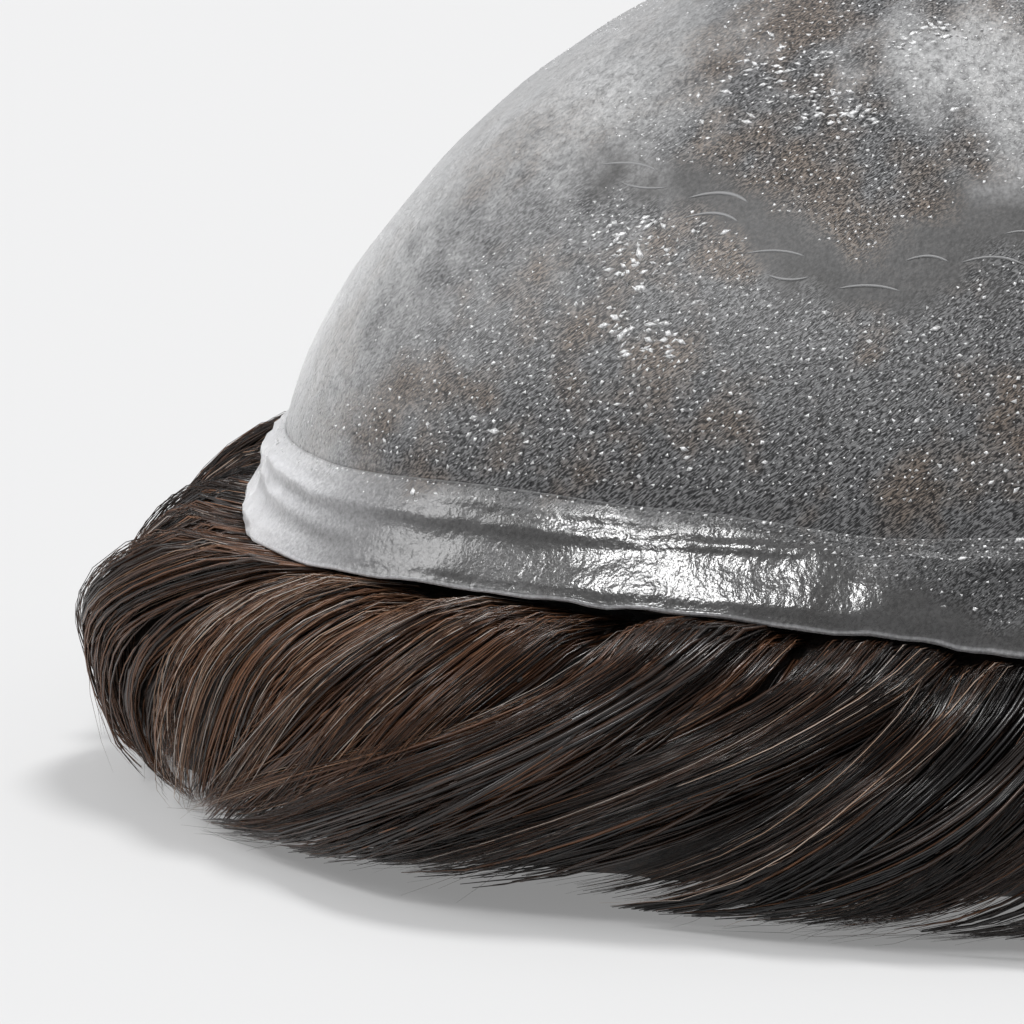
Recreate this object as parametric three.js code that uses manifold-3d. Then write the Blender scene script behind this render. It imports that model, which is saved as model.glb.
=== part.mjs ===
// A full-cap toupee hairpiece, turned inside out and set down on its own hair.
// A thin skin cap stands up as a dome with its scalp side outward, a clear band runs round its rim,
// and the hair that is knotted to the other side lines the hollow and spills out under the band.
// Millimetres, +Z up, the hairline at the front towards -Y, and the surface it rests on at z = 0.

import * as THREE from "three";
import Module from "manifold-3d";
import { mergeVertices } from "three/addons/utils/BufferGeometryUtils.js";

const wasm = await Module();
wasm.setup();

// The cap, measured at the seam where the knotted skin meets the clear band
const CAP_LENGTH = 177; // front to back
const CAP_WIDTH = 122;
const CAP_DEPTH = 63; // from the seam up to the crown
const CROWN_FULLNESS = 1.68; // exponent of the side profile: 2 is an ellipse, less is more pointed
const FRONT_SQUARENESS = 2.8; // exponent of the plan outline at the hairline
const BACK_SQUARENESS = 2.25;
const SKIN_WALL = 1;
const SKIN_LAP = 2.6; // how far the skin runs down behind the band

// The clear band round the rim
const RIM_HEIGHT = 28.3; // from the surface up to the band's lower edge
const BAND_DROP = 7; // from the seam down to that edge
const BAND_LAP = 3.4; // from the seam up to the band's feathered edge, on the skin
const BAND_FLARE = 4; // how far the edge stands out from the seam
const BAND_WALL = 1.2;

// The hair
const LINING_DEPTH = 6.5; // hair lying against the inside of the skin
const LINING_GROOVE = 1.2; // depth of the partings between its locks
const LINING_LOCKS = 10;
const HAIR_REACH = 16.5; // how far the bulge stands out from the seam
const HAIR_INSIDE = 12; // how far the wreath runs in under the cap
const HAIR_DRIFT = 22; // degrees that a lock runs towards the front on its way down, at the sides
const DRIFT_EVENNESS = 0.7; // exponent: the smaller, the more alike the drift is all along a side
const LOCK_COUNT = 30;
const LOCK_VARIETY = 0.14; // share by which the locks differ in size
const LOCK_SHUFFLE = 0.8; // millimetres by which they stand out more or less
const SIZE_RHYTHM = 2.4; // radians from one lock to the next, so that no two neighbours are alike
const LIFT_RHYTHM = 1.7;
const LOCK_WIDTH = 16;
const LOCK_DEPTH = 8.5;
const LOCK_SINK = 0.8; // how far a lock's middle line lies inside the path that it follows
const LOCK_BLUNTNESS = 0.45; // share of a lock's length that its rounded ends take
const GAP = 0.4; // clearance between pieces that touch
const PARTING_WIDTH = 2 * GAP; // measured level, as the partings run aslant

// How finely the curved walls are divided
const AROUND = 40;
const BAND_AROUND = 50;
const CAP_ROWS = 7;
const LOCK_SIDES = 5;
const LOCK_ROWS = 7;
const PARTING_STEPS = 5;
const PARTING_REACH = 1.3; // times the wreath's own reach, to either side
const PARTING_TOP = 2; // times the height of the band's edge, well above the hair
const PARTING_FOOT = -1; // and well below it
const NEARBY = 0.02; // step along and across a lock's path, to find the way it runs
const WELD = 1e-4; // vertices nearer than this are one
const FAR = 4 * CAP_LENGTH; // longer than anything here, for blocks that trim

const SEAM_HEIGHT = RIM_HEIGHT + BAND_DROP;
const CROWN_HEIGHT = SEAM_HEIGHT + CAP_DEPTH;

// The band's section, from its feathered top edge to its beaded lower edge. lap: share of BAND_LAP
// above the seam. down: share of BAND_DROP below it. out: share of BAND_FLARE. wall: share of BAND_WALL.
const BAND_SECTION = [
  { lap: 1.0, down: 0.0, out: -0.08, wall: 0.45 },
  { lap: 0.75, down: 0.0, out: 0.04, wall: 0.8 },
  { lap: 0.1, down: 0.0, out: 0.02, wall: 0.7 },
  { lap: 0.0, down: 0.4, out: 0.5, wall: 0.85 },
  { lap: 0.0, down: 0.74, out: 0.88, wall: 0.8 },
  { lap: 0.0, down: 0.92, out: 1.0, wall: 1.15 },
  { lap: 0.0, down: 1.0, out: 0.97, wall: 0.9 },
];

// How the soft band waves on its way round. at: degrees, 0 at the left side and -90 at the hairline.
// flare: times BAND_FLARE. lift: share of BAND_DROP that the edge rises. sag: share of BAND_DROP that the
// middle of the band sinks in as a crease. lap: times BAND_LAP.
const BAND_WAVES = [
  { at: -180, flare: 1.0, lift: 0.0, sag: 0.0, lap: 1.0 },
  { at: -160, flare: 1.15, lift: 0.07, sag: 0.03, lap: 0.8 },
  { at: -138, flare: 0.8, lift: -0.07, sag: 0.06, lap: 1.1 },
  { at: -118, flare: 0.8, lift: 0.0, sag: 0.02, lap: 0.9 },
  { at: -96, flare: 0.45, lift: 0.12, sag: 0.04, lap: 0.8 },
  { at: -80, flare: 0.65, lift: 0.0, sag: 0.0, lap: 0.8 },
  { at: -66, flare: 0.8, lift: 0.1, sag: 0.07, lap: 0.9 },
  { at: -50, flare: 0.8, lift: 0.23, sag: 0.02, lap: 1.2 },
  { at: -36, flare: 0.95, lift: 0.18, sag: 0.0, lap: 1.0 },
  { at: -18, flare: 1.1, lift: 0.02, sag: -0.02, lap: 0.5 },
  { at: -6, flare: 0.9, lift: -0.25, sag: 0.08, lap: 0.6 },
  { at: 20, flare: 0.8, lift: -0.1, sag: 0.03, lap: 0.8 },
  { at: 42, flare: 1.1, lift: 0.0, sag: 0.0, lap: 1.0 },
  { at: 66, flare: 1.15, lift: 0.06, sag: 0.05, lap: 1.2 },
  { at: 90, flare: 0.8, lift: 0.1, sag: 0.0, lap: 1.0 },
  { at: 118, flare: 1.1, lift: -0.06, sag: 0.06, lap: 0.8 },
  { at: 146, flare: 0.9, lift: 0.04, sag: 0.0, lap: 1.1 },
];

// The wreath's own section under its locks. out: share of HAIR_REACH, or of HAIR_INSIDE where it is
// negative. up: share of the height of the band's edge.
const WREATH_SECTION = [
  { out: -0.8, up: 0.0 },
  { out: 0.82, up: 0.0 },
  { out: 0.94, up: 0.3 },
  { out: 0.86, up: 0.62 },
  { out: 0.56, up: 0.9 },
  { out: 0.1, up: 1.06 },
  { out: -0.9, up: 1.06 },
  { out: -1.0, up: 0.45 },
];

// A lock on its way from under the rim to its tip. reach and up: as out and up for the wreath's section.
// drift: share of HAIR_DRIFT. width and depth: shares of LOCK_WIDTH and LOCK_DEPTH.
const LOCK_PATH = [
  { reach: -0.2, up: 0.84, drift: 0.0, width: 0.62, depth: 0.5 },
  { reach: 0.32, up: 0.92, drift: 0.04, width: 0.85, depth: 0.85 },
  { reach: 0.72, up: 0.8, drift: 0.14, width: 1.0, depth: 1.0 },
  { reach: 0.95, up: 0.58, drift: 0.34, width: 1.0, depth: 1.0 },
  { reach: 1.0, up: 0.34, drift: 0.58, width: 0.85, depth: 0.9 },
  { reach: 0.9, up: 0.14, drift: 0.82, width: 0.6, depth: 0.75 },
  { reach: 0.8, up: 0.07, drift: 1.0, width: 0.2, depth: 0.3 },
];

// How the hair gathers on its way round. at: degrees, as for the band. reach: times HAIR_REACH.
// height: times the height of the band's edge.
const HAIR_SWELLS = [
  { at: -180, reach: 1.0, height: 1.0 },
  { at: -150, reach: 1.02, height: 0.98 },
  { at: -128, reach: 0.98, height: 0.98 },
  { at: -108, reach: 1.0, height: 1.03 },
  { at: -92, reach: 0.94, height: 0.98 },
  { at: -78, reach: 1.06, height: 1.04 },
  { at: -60, reach: 0.72, height: 0.98 },
  { at: -38, reach: 1.06, height: 0.96 },
  { at: -14, reach: 1.12, height: 0.98 },
  { at: 12, reach: 1.04, height: 0.97 },
  { at: 38, reach: 1.06, height: 1.0 },
  { at: 64, reach: 1.12, height: 1.04 },
  { at: 90, reach: 0.98, height: 1.0 },
  { at: 116, reach: 1.12, height: 1.04 },
  { at: 150, reach: 1.02, height: 0.98 },
];

// The four quarters of the wreath, each from the parting where it starts, in degrees
const QUARTERS = [
  { name: "left_side_hair", from: -34 },
  { name: "back_hair", from: 46 },
  { name: "right_side_hair", from: 134 },
  { name: "front_hair", from: 220 },
];

const { clamp, degToRad, lerp, radToDeg } = THREE.MathUtils;

// The row of a table that goes right round, at any angle in degrees, eased from row to row
function waveAt(table, degrees) {
  const turn = ((((degrees - table[0].at) % 360) + 360) % 360) + table[0].at;
  const next = table.findIndex((row) => row.at > turn);
  const after = next < 0 ? table[0] : table[next];
  const before = next < 0 ? table[table.length - 1] : table[next - 1];
  const span = (after.at - before.at + 360) % 360;
  const share = (1 - Math.cos((Math.PI * (turn - before.at)) / span)) / 2;
  const row = {};
  for (const column of Object.keys(before)) {
    row[column] = lerp(before[column], after[column], share);
  }
  return row;
}

// The row of a table of stations, at a share of the way from its first row to its last
function stationAt(table, share) {
  const place = clamp(share, 0, 1) * (table.length - 1);
  const index = Math.min(Math.floor(place), table.length - 2);
  const row = {};
  for (const column of Object.keys(table[0])) {
    row[column] = lerp(table[index][column], table[index + 1][column], place - index);
  }
  return row;
}

// A point of the plan outline of the cap, grown outward by some millimetres. Near the crown the
// outline is a plain ellipse, and at the rim it has its full squareness.
function planPoint(angle, grow = 0, rimShare = 1, scale = 1) {
  const cosine = Math.cos(angle);
  const sine = Math.sin(angle);
  const frontShare = (1 - sine) / 2;
  const squareness = lerp(BACK_SQUARENESS, FRONT_SQUARENESS, frontShare);
  const power = lerp(2, squareness, rimShare);
  const across = Math.abs(cosine / (CAP_WIDTH / 2 + grow)) ** power;
  const along = Math.abs(sine / (CAP_LENGTH / 2 + grow)) ** power;
  const radius = scale * (across + along) ** (-1 / power);
  return new THREE.Vector2(radius * cosine, radius * sine);
}

// A closed mesh as a solid
function solidOf(geometry) {
  const bare = geometry.index ? geometry.toNonIndexed() : geometry.clone();
  bare.deleteAttribute("normal");
  bare.deleteAttribute("uv");
  const merged = mergeVertices(bare, WELD);
  const mesh = new wasm.Mesh({
    numProp: 3,
    vertProperties: merged.getAttribute("position").array,
    triVerts: new Uint32Array(merged.index.array),
  });
  return new wasm.Manifold(mesh);
}

function geometryOf(solid) {
  const mesh = solid.getMesh();
  const geometry = new THREE.BufferGeometry();
  geometry.setAttribute("position", new THREE.BufferAttribute(mesh.vertProperties, mesh.numProp));
  geometry.setIndex(new THREE.BufferAttribute(mesh.triVerts, 1));
  const faceted = geometry.toNonIndexed();
  faceted.computeVertexNormals();
  return faceted;
}

// Turns a profile of rows about the upright axis, and moves each vertex to where place(angle, row) says.
// The rows go round the section anticlockwise, as seen with the axis on the left.
function turned(rows, segments, place) {
  const profile = rows.map((row, index) => new THREE.Vector2(row.onAxis ? 0 : 1, index));
  const closed = rows[0].onAxis ? profile : [...profile, profile[0]];
  const geometry = new THREE.LatheGeometry(closed, segments);
  const position = geometry.getAttribute("position");
  for (let i = 0; i < position.count; i++) {
    const angle = Math.atan2(-position.getZ(i), position.getX(i));
    const row = rows[Math.round(position.getY(i))];
    const point = row.onAxis ? new THREE.Vector3(0, 0, row.height) : place(angle, row);
    position.setXYZ(i, point.x, point.y, point.z);
  }
  return solidOf(geometry);
}

// A point on a dome that lies a given depth inside the skin's outer face
function domePoint(angle, slope, depth) {
  const share = Math.sin(slope);
  const rise = (1 - share ** CROWN_FULLNESS) ** (1 / CROWN_FULLNESS);
  const plan = planPoint(angle, -depth, share, share);
  return new THREE.Vector3(plan.x, plan.y, SEAM_HEIGHT + (CAP_DEPTH - depth) * rise);
}

// The rings of a dome from the crown to the rim, as angles of its profile
const capSlopes = Array.from({ length: CAP_ROWS }, (_, i) => ((i + 1) / CAP_ROWS) * (Math.PI / 2));

function crown(depth) {
  return { onAxis: true, height: CROWN_HEIGHT - depth };
}

// The knotted skin: a thin dome whose wall runs straight down behind the band
function skinDome() {
  const rows = [
    crown(SKIN_WALL),
    ...capSlopes.map((slope) => ({ slope, depth: SKIN_WALL, below: 0 })),
    { slope: Math.PI / 2, depth: SKIN_WALL, below: SKIN_LAP },
    { slope: Math.PI / 2, depth: 0, below: SKIN_LAP },
    ...capSlopes.toReversed().map((slope) => ({ slope, depth: 0, below: 0 })),
    crown(0),
  ];
  return turned(rows, AROUND, (angle, row) => {
    const point = domePoint(angle, row.slope, row.depth);
    point.z -= row.below;
    return point;
  });
}

// How far out of the seam the band's outer face stands, and how high, at a place on its section
function bandPoint(angle, station, inward) {
  const wave = waveAt(BAND_WAVES, radToDeg(angle));
  const crease = wave.sag * Math.sin(Math.PI * station.down);
  const out = GAP + BAND_WALL + BAND_FLARE * wave.flare * station.out - BAND_DROP * crease;
  const plan = planPoint(angle, out - inward);
  const height = SEAM_HEIGHT + BAND_LAP * station.lap * wave.lap - BAND_DROP * station.down * (1 - wave.lift);
  return new THREE.Vector3(plan.x, plan.y, height);
}

// The clear band. grow thickens it all round, for the clearance that it needs in the hair.
function rimBand(grow = 0) {
  const top = BAND_SECTION[0];
  const edge = BAND_SECTION[BAND_SECTION.length - 1];
  const outer = BAND_SECTION.map((station) => ({ station, inward: -grow }));
  const inner = BAND_SECTION.map((station) => ({ station, inward: station.wall * BAND_WALL + grow }));
  return turned([...outer.toReversed(), ...inner], BAND_AROUND, (angle, { station, inward }) => {
    const point = bandPoint(angle, station, inward);
    point.z += station === top ? grow : station === edge ? -grow : 0;
    return point;
  });
}

// The hair inside the cap, in shallow locks that run down from the crown
function liningHair() {
  const lie = SKIN_WALL + GAP;
  const rows = [
    crown(lie + LINING_DEPTH),
    ...capSlopes.map((slope) => ({ slope, inner: true, below: 0 })),
    { slope: Math.PI / 2, inner: true, below: BAND_DROP },
    { slope: Math.PI / 2, inner: false, below: BAND_DROP },
    ...capSlopes.toReversed().map((slope) => ({ slope, inner: false, below: 0 })),
    crown(lie),
  ];
  return turned(rows, AROUND, (angle, row) => {
    const groove = LINING_GROOVE * Math.cos(LINING_LOCKS * angle + row.slope) * Math.sin(row.slope);
    const point = domePoint(angle, row.slope, row.inner ? lie + LINING_DEPTH + groove : lie);
    point.z -= row.below;
    return point;
  });
}

// A point in the wreath at an angle, with out and up as in its section
function wreathPoint(angle, out, up) {
  const degrees = radToDeg(angle);
  const swell = waveAt(HAIR_SWELLS, degrees);
  const edge = RIM_HEIGHT + BAND_DROP * waveAt(BAND_WAVES, degrees).lift;
  const plan = planPoint(angle, out > 0 ? out * HAIR_REACH * swell.reach : out * HAIR_INSIDE);
  return new THREE.Vector3(plan.x, plan.y, up * edge * swell.height);
}

// The backing that the locks are fused to
function wreathCore() {
  return turned(WREATH_SECTION, AROUND, (angle, row) => wreathPoint(angle, row.out, row.up));
}

// The angle that hair rooted at another angle has come to, at a share of its drift to the hairline
function driftedAngle(rootAngle, share) {
  const side = Math.cos(rootAngle);
  return rootAngle - degToRad(HAIR_DRIFT) * share * Math.sign(side) * Math.abs(side) ** DRIFT_EVENNESS;
}

// Where a lock's middle line lies, at a share of its way
function lockPoint(rootAngle, share) {
  const station = stationAt(LOCK_PATH, share);
  return wreathPoint(driftedAngle(rootAngle, station.drift), station.reach, station.up);
}

// One lock: a sphere drawn out along its path, broad across the wreath and thin through it
function lock(rootAngle, size, lift) {
  const geometry = new THREE.SphereGeometry(1, LOCK_SIDES, LOCK_ROWS);
  const position = geometry.getAttribute("position");
  for (let i = 0; i < position.count; i++) {
    const rim = Math.hypot(position.getX(i), position.getZ(i));
    const around = Math.atan2(position.getZ(i), position.getX(i));
    const share = 1 - (Math.asin(clamp(position.getY(i), -1, 1)) / Math.PI + 0.5);
    const station = stationAt(LOCK_PATH, share);
    const middle = lockPoint(rootAngle, share);
    const along = lockPoint(rootAngle, share + NEARBY).sub(lockPoint(rootAngle, share - NEARBY));
    const across = lockPoint(rootAngle + NEARBY, share).sub(lockPoint(rootAngle - NEARBY, share));
    const outward = new THREE.Vector3().crossVectors(along, across).normalize();
    across.crossVectors(outward, along).normalize();
    const full = Math.min(1, rim / LOCK_BLUNTNESS);
    const wide = (LOCK_WIDTH / 2) * size * station.width * full;
    const deep = (LOCK_DEPTH / 2) * size * station.depth * full;
    const point = middle
      .addScaledVector(across, wide * Math.cos(around))
      .addScaledVector(outward, deep * Math.sin(around) + lift - LOCK_SINK);
    position.setXYZ(i, point.x, point.y, point.z);
  }
  return solidOf(geometry);
}

// A block that holds all that lies between two heights
function slab(bottom, top) {
  const block = new THREE.BoxGeometry(FAR, FAR, top - bottom);
  block.translate(0, 0, (bottom + top) / 2);
  return solidOf(block);
}

// A thin sheet that winds through the wreath along the groove between two locks, from well above it
// to well below
function parting(degrees) {
  const rows = [{ up: PARTING_TOP, drift: 0 }, ...LOCK_PATH.slice(1), { up: PARTING_FOOT, drift: 1 }];
  const sheet = new THREE.BoxGeometry(1, 1, 1, 1, PARTING_STEPS, rows.length - 1);
  const position = sheet.getAttribute("position");
  for (let i = 0; i < position.count; i++) {
    const row = rows[Math.round((0.5 - position.getZ(i)) * (rows.length - 1))];
    const angle = driftedAngle(degToRad(degrees), row.drift);
    const point = wreathPoint(angle, 2 * PARTING_REACH * position.getY(i), row.up);
    const aside = -PARTING_WIDTH * position.getX(i);
    position.setXYZ(i, point.x - aside * Math.sin(angle), point.y + aside * Math.cos(angle), point.z);
  }
  return solidOf(sheet);
}

// All that lies inside the cap above the band's edge, where the lining has its place
function hollowOfCap() {
  const within = -2 * HAIR_INSIDE; // farther in than any hair of the wreath
  const rows = [
    { grow: within, height: RIM_HEIGHT - GAP },
    { grow: 0, height: RIM_HEIGHT - GAP },
    { grow: 0, height: CROWN_HEIGHT },
    { grow: within, height: CROWN_HEIGHT },
  ];
  return turned(rows, AROUND, (angle, row) => {
    const plan = planPoint(angle, row.grow);
    return new THREE.Vector3(plan.x, plan.y, row.height);
  });
}

// The whole wreath, trimmed clear of the surface, the band and the lining
function wreath() {
  let hair = wreathCore();
  for (let i = 0; i < LOCK_COUNT; i++) {
    const rootAngle = (2 * Math.PI * (i + 0.5)) / LOCK_COUNT;
    const size = 1 + LOCK_VARIETY * Math.sin(SIZE_RHYTHM * i);
    const lift = LOCK_SHUFFLE * Math.sin(LIFT_RHYTHM * i);
    hair = hair.add(lock(rootAngle, size, lift));
  }
  return hair.subtract(slab(-FAR, 0)).subtract(rimBand(GAP)).subtract(hollowOfCap());
}

// The wreath parted in its quarters, each between two locks
function wreathQuarters() {
  const turn = 360 / LOCK_COUNT;
  const partings = QUARTERS.map((quarter) => turn * Math.round(quarter.from / turn));
  const parted = partings.reduce((hair, degrees) => hair.subtract(parting(degrees)), wreath());
  const largest = parted.decompose().toSorted((a, b) => b.volume() - a.volume()).slice(0, QUARTERS.length);
  return QUARTERS.map((quarter, i) => {
    const next = i + 1 < QUARTERS.length ? partings[i + 1] : partings[0] + 360;
    const middle = planPoint(degToRad((partings[i] + next) / 2));
    const away = (solid) => {
      const { min, max } = solid.boundingBox();
      return middle.distanceTo(new THREE.Vector2((min[0] + max[0]) / 2, (min[1] + max[1]) / 2));
    };
    const solid = largest.reduce((best, other) => (away(other) < away(best) ? other : best));
    return { name: quarter.name, solid };
  });
}

const film = { roughness: 0.22, metalness: 0, transparent: true };
const skinFinish = new THREE.MeshStandardMaterial({ ...film, color: 0x85858a, opacity: 0.85 });
const bandFinish = new THREE.MeshStandardMaterial({ ...film, color: 0xb4b6b8, opacity: 0.7 });
const hairFinish = new THREE.MeshStandardMaterial({ color: 0x2a1d16, roughness: 0.45, metalness: 0 });

function named(name, solid, finish) {
  const mesh = new THREE.Mesh(geometryOf(solid), finish.clone());
  mesh.name = name;
  return mesh;
}

const hairpiece = new THREE.Group();
hairpiece.add(named("skin_dome", skinDome(), skinFinish));
hairpiece.add(named("rim_band", rimBand(), bandFinish));
hairpiece.add(named("crown_hair", liningHair(), hairFinish));
for (const { name, solid } of wreathQuarters()) {
  hairpiece.add(named(name, solid, hairFinish));
}

// The origin is under the middle of the whole piece, and the hair isn't quite even round the cap
const middle = new THREE.Box3().setFromObject(hairpiece).getCenter(new THREE.Vector3());
hairpiece.children.forEach((mesh) => mesh.geometry.translate(-middle.x, -middle.y, 0));

export default hairpiece;
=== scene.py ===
# %% [markdown]
# # A toupee hairpiece, lying inside out
# The real thing is a thin skin cap with hair knotted into it, one hair at a time. Here it has been
# turned inside out and set down on its own hair: the skin stands up as a dome, a clear band runs
# round its rim, and the hair spills out under the band on all sides.
# The frame gives a coarse solid for each of these. It fixes every size, so this file measures it and
# builds the looks around it.

# %% The frame
import math

import bpy
import numpy as np
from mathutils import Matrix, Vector


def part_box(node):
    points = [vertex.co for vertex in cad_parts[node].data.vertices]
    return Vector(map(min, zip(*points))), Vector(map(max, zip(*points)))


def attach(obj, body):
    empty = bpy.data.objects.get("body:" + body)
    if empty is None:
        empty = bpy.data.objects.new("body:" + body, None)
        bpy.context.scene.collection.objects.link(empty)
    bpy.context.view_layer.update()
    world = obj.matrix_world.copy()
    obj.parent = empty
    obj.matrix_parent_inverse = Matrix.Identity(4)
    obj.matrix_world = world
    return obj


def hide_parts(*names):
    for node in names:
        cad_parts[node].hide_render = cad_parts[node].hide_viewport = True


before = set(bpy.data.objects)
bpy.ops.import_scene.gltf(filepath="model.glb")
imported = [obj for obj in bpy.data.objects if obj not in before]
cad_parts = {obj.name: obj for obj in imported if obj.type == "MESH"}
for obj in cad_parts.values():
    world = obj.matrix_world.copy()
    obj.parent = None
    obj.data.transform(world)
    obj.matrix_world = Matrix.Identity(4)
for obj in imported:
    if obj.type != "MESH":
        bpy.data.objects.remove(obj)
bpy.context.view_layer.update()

print("nodes in the frame:", sorted(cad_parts))

# %% [markdown]
# ## Sizes
# A box around a node gives its real place in metres. The skin's box gives the cap's length and width,
# its crown, and the seam where the band starts.

# %% Sizes taken from the frame
MM = 0.001
skin_low, skin_high = (np.array(corner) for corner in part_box("skin_dome"))
CENTRE = (skin_low + skin_high)[:2] / 2
HALF_WIDTH, HALF_LENGTH = (skin_high - skin_low)[:2] / 2
SKIN_LAP = 2.6 * MM
SEAM = skin_low[2] + SKIN_LAP
CROWN = skin_high[2]
CAP_DEPTH = CROWN - SEAM
BAND_DROP = 7 * MM
RIM_HEIGHT = SEAM - BAND_DROP
print(f"cap {2e3 * HALF_LENGTH:.0f} x {2e3 * HALF_WIDTH:.0f} mm, {1e3 * CAP_DEPTH:.0f} mm deep")

# %% [markdown]
# ## Waves round the rim
# Soft things are never quite even. Each table says how a size changes on the way round, in degrees,
# with 0 at the wearer's left side and -90 at the hairline. Between two rows the value is eased with a
# cosine, so that no row shows as a corner.

# %% Tables that go round the cap


def table(names, *rows):
    """Named columns, one row for each place"""
    return dict(zip(names.split(), np.array(rows, dtype=float).T))


BAND_WAVES = table(
    "at flare lift sag lap",
    (-180, 1.0, 0.0, 0.0, 1.0),
    (-160, 1.15, 0.07, 0.03, 0.8),
    (-138, 0.8, -0.07, 0.06, 1.1),
    (-118, 0.8, 0.0, 0.02, 0.9),
    (-96, 0.45, 0.12, 0.04, 0.8),
    (-80, 0.65, 0.0, 0.0, 0.8),
    (-66, 0.8, 0.1, 0.07, 0.9),
    (-50, 0.8, 0.23, 0.02, 1.2),
    (-36, 0.95, 0.18, 0.0, 1.0),
    (-18, 1.1, 0.02, -0.02, 0.5),
    (-6, 0.9, -0.25, 0.08, 0.6),
    (20, 0.8, -0.1, 0.03, 0.8),
    (42, 1.1, 0.0, 0.0, 1.0),
    (66, 1.15, 0.06, 0.05, 1.2),
    (90, 0.8, 0.1, 0.0, 1.0),
    (118, 1.1, -0.06, 0.06, 0.8),
    (146, 0.9, 0.04, 0.0, 1.1),
)
HAIR_SWELLS = table(
    "at reach height",
    (-180, 1.0, 1.0),
    (-150, 1.02, 0.98),
    (-128, 0.98, 0.98),
    (-108, 1.0, 1.03),
    (-92, 0.87, 0.98),
    (-78, 0.98, 1.04),
    (-60, 0.72, 0.98),
    (-38, 1.06, 0.96),
    (-14, 1.12, 0.98),
    (12, 1.04, 0.97),
    (38, 1.06, 1.0),
    (64, 1.12, 1.04),
    (90, 0.98, 1.0),
    (116, 1.12, 1.04),
    (150, 1.02, 0.98),
)


def round_the_rim(waves, name, angle):
    """The value of a column at any angle in radians"""
    at, values = waves["at"], waves[name]
    ends, stops = np.append(at, at[0] + 360), np.append(values, values[0])
    turn = (np.degrees(angle) - at[0]) % 360 + at[0]
    row = np.clip(np.searchsorted(ends, turn, side="right") - 1, 0, len(at) - 1)
    share = (1 - np.cos(np.pi * (turn - ends[row]) / (ends[row + 1] - ends[row]))) / 2
    return stops[row] + (stops[row + 1] - stops[row]) * share


def on_the_way(path, name, share):
    """The value of a column at a share of the way down a table, on a smooth curve through its rows"""
    values = path[name]
    last = len(values) - 1
    place = np.clip(share, 0, 1) * last
    row = np.minimum(place.astype(int), last - 1)
    t = place - row
    ends = np.concatenate([[2 * values[0] - values[1]], values, [2 * values[-1] - values[-2]]])
    a, b, c, d = ends[row], ends[row + 1], ends[row + 2], ends[row + 3]
    return b + 0.5 * t * (c - a + t * (2 * a - 5 * b + 4 * c - d + t * (3 * (b - c) + d - a)))


print("rows round the rim:", len(BAND_WAVES["at"]), "for the band,", len(HAIR_SWELLS["at"]), "for the hair")

# %% [markdown]
# ## The cap's outline
# Seen from above the cap is a superellipse: a plain ellipse near the crown, and squarer towards the
# hairline at the rim. One function serves the skin, the band and the hair, so they fit each other.

# %% Points on the cap
CROWN_FULLNESS = 1.68
FRONT_SQUARENESS = 2.8
BACK_SQUARENESS = 2.25
HAIR_REACH = 16.5 * MM
HAIR_INSIDE = 12 * MM


def outline(angle, grow=0.0, squared=1.0, scale=1.0):
    """x and y of the cap's outline, from its middle"""
    cosine, sine = np.cos(angle), np.sin(angle)
    squareness = BACK_SQUARENESS + (FRONT_SQUARENESS - BACK_SQUARENESS) * (1 - sine) / 2
    power = 2 + (squareness - 2) * squared
    across = np.abs(cosine / (HALF_WIDTH + grow)) ** power
    along = np.abs(sine / (HALF_LENGTH + grow)) ** power
    radius = scale * (across + along) ** (-1 / power)
    return radius * cosine, radius * sine


def placed(x, y, z):
    return np.stack(np.broadcast_arrays(x + CENTRE[0], y + CENTRE[1], z), axis=-1)


def dome_point(angle, slope, depth=0.0):
    """A point a given depth inside the skin's outer face.
    slope is 0 at the crown and 90 degrees at the seam."""
    share = np.sin(slope)
    rise = (1 - np.minimum(share, 1) ** CROWN_FULLNESS) ** (1 / CROWN_FULLNESS)
    x, y = outline(angle, -depth, share, share)
    return placed(x, y, SEAM + (CAP_DEPTH - depth) * rise)


def wreath_point(angle, out, up):
    """A point in the hair round the rim. out is a share of its reach, and up of the band's height."""
    reach = HAIR_REACH * round_the_rim(HAIR_SWELLS, "reach", angle)
    x, y = outline(angle, np.where(out > 0, out * reach, out * HAIR_INSIDE))
    edge = RIM_HEIGHT + BAND_DROP * round_the_rim(BAND_WAVES, "lift", angle)
    return placed(x, y, up * edge * round_the_rim(HAIR_SWELLS, "height", angle))


print("crown at", dome_point(np.array(0.0), np.array(0.0)).round(4))

# %% [markdown]
# ## Small helpers
# A primitive is added, and its vertices are then moved by one function for the whole piece. This is
# proportional editing done with numbers instead of by eye, and it keeps the primitive's clean faces.

# %% Helpers for pieces
NUDGE = 1e-3


def unit(vectors):
    return vectors / np.maximum(np.linalg.norm(vectors, axis=-1, keepdims=True), 1e-12)


def vertices_of(piece):
    points = np.empty(3 * len(piece.data.vertices))
    piece.data.vertices.foreach_get("co", points)
    return points.reshape(-1, 3)


def move_vertices(piece, points):
    piece.data.vertices.foreach_set("co", np.asarray(points, dtype=float).ravel())
    piece.data.update()


def only(piece):
    """Makes a piece the only one selected, and the active one"""
    bpy.ops.object.select_all(action="DESELECT")
    piece.select_set(True)
    bpy.context.view_layer.objects.active = piece


def finished(piece, name, slot, *nodes):
    """Names a piece, smooths it, and ties it to the frame"""
    piece.name = piece.data.name = name
    piece.data.shade_smooth()
    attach(piece, "root")
    if nodes:
        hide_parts(*nodes)
    triangles = sum(len(face.vertices) - 2 for face in piece.data.polygons)
    print(f"{name}: {triangles} triangles")
    return piece


def turn_faces_outward():
    """Works on the active piece"""
    bpy.ops.object.mode_set(mode="EDIT")
    bpy.ops.mesh.select_all(action="SELECT")
    bpy.ops.mesh.normals_make_consistent(inside=False)
    bpy.ops.object.mode_set(mode="OBJECT")


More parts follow.
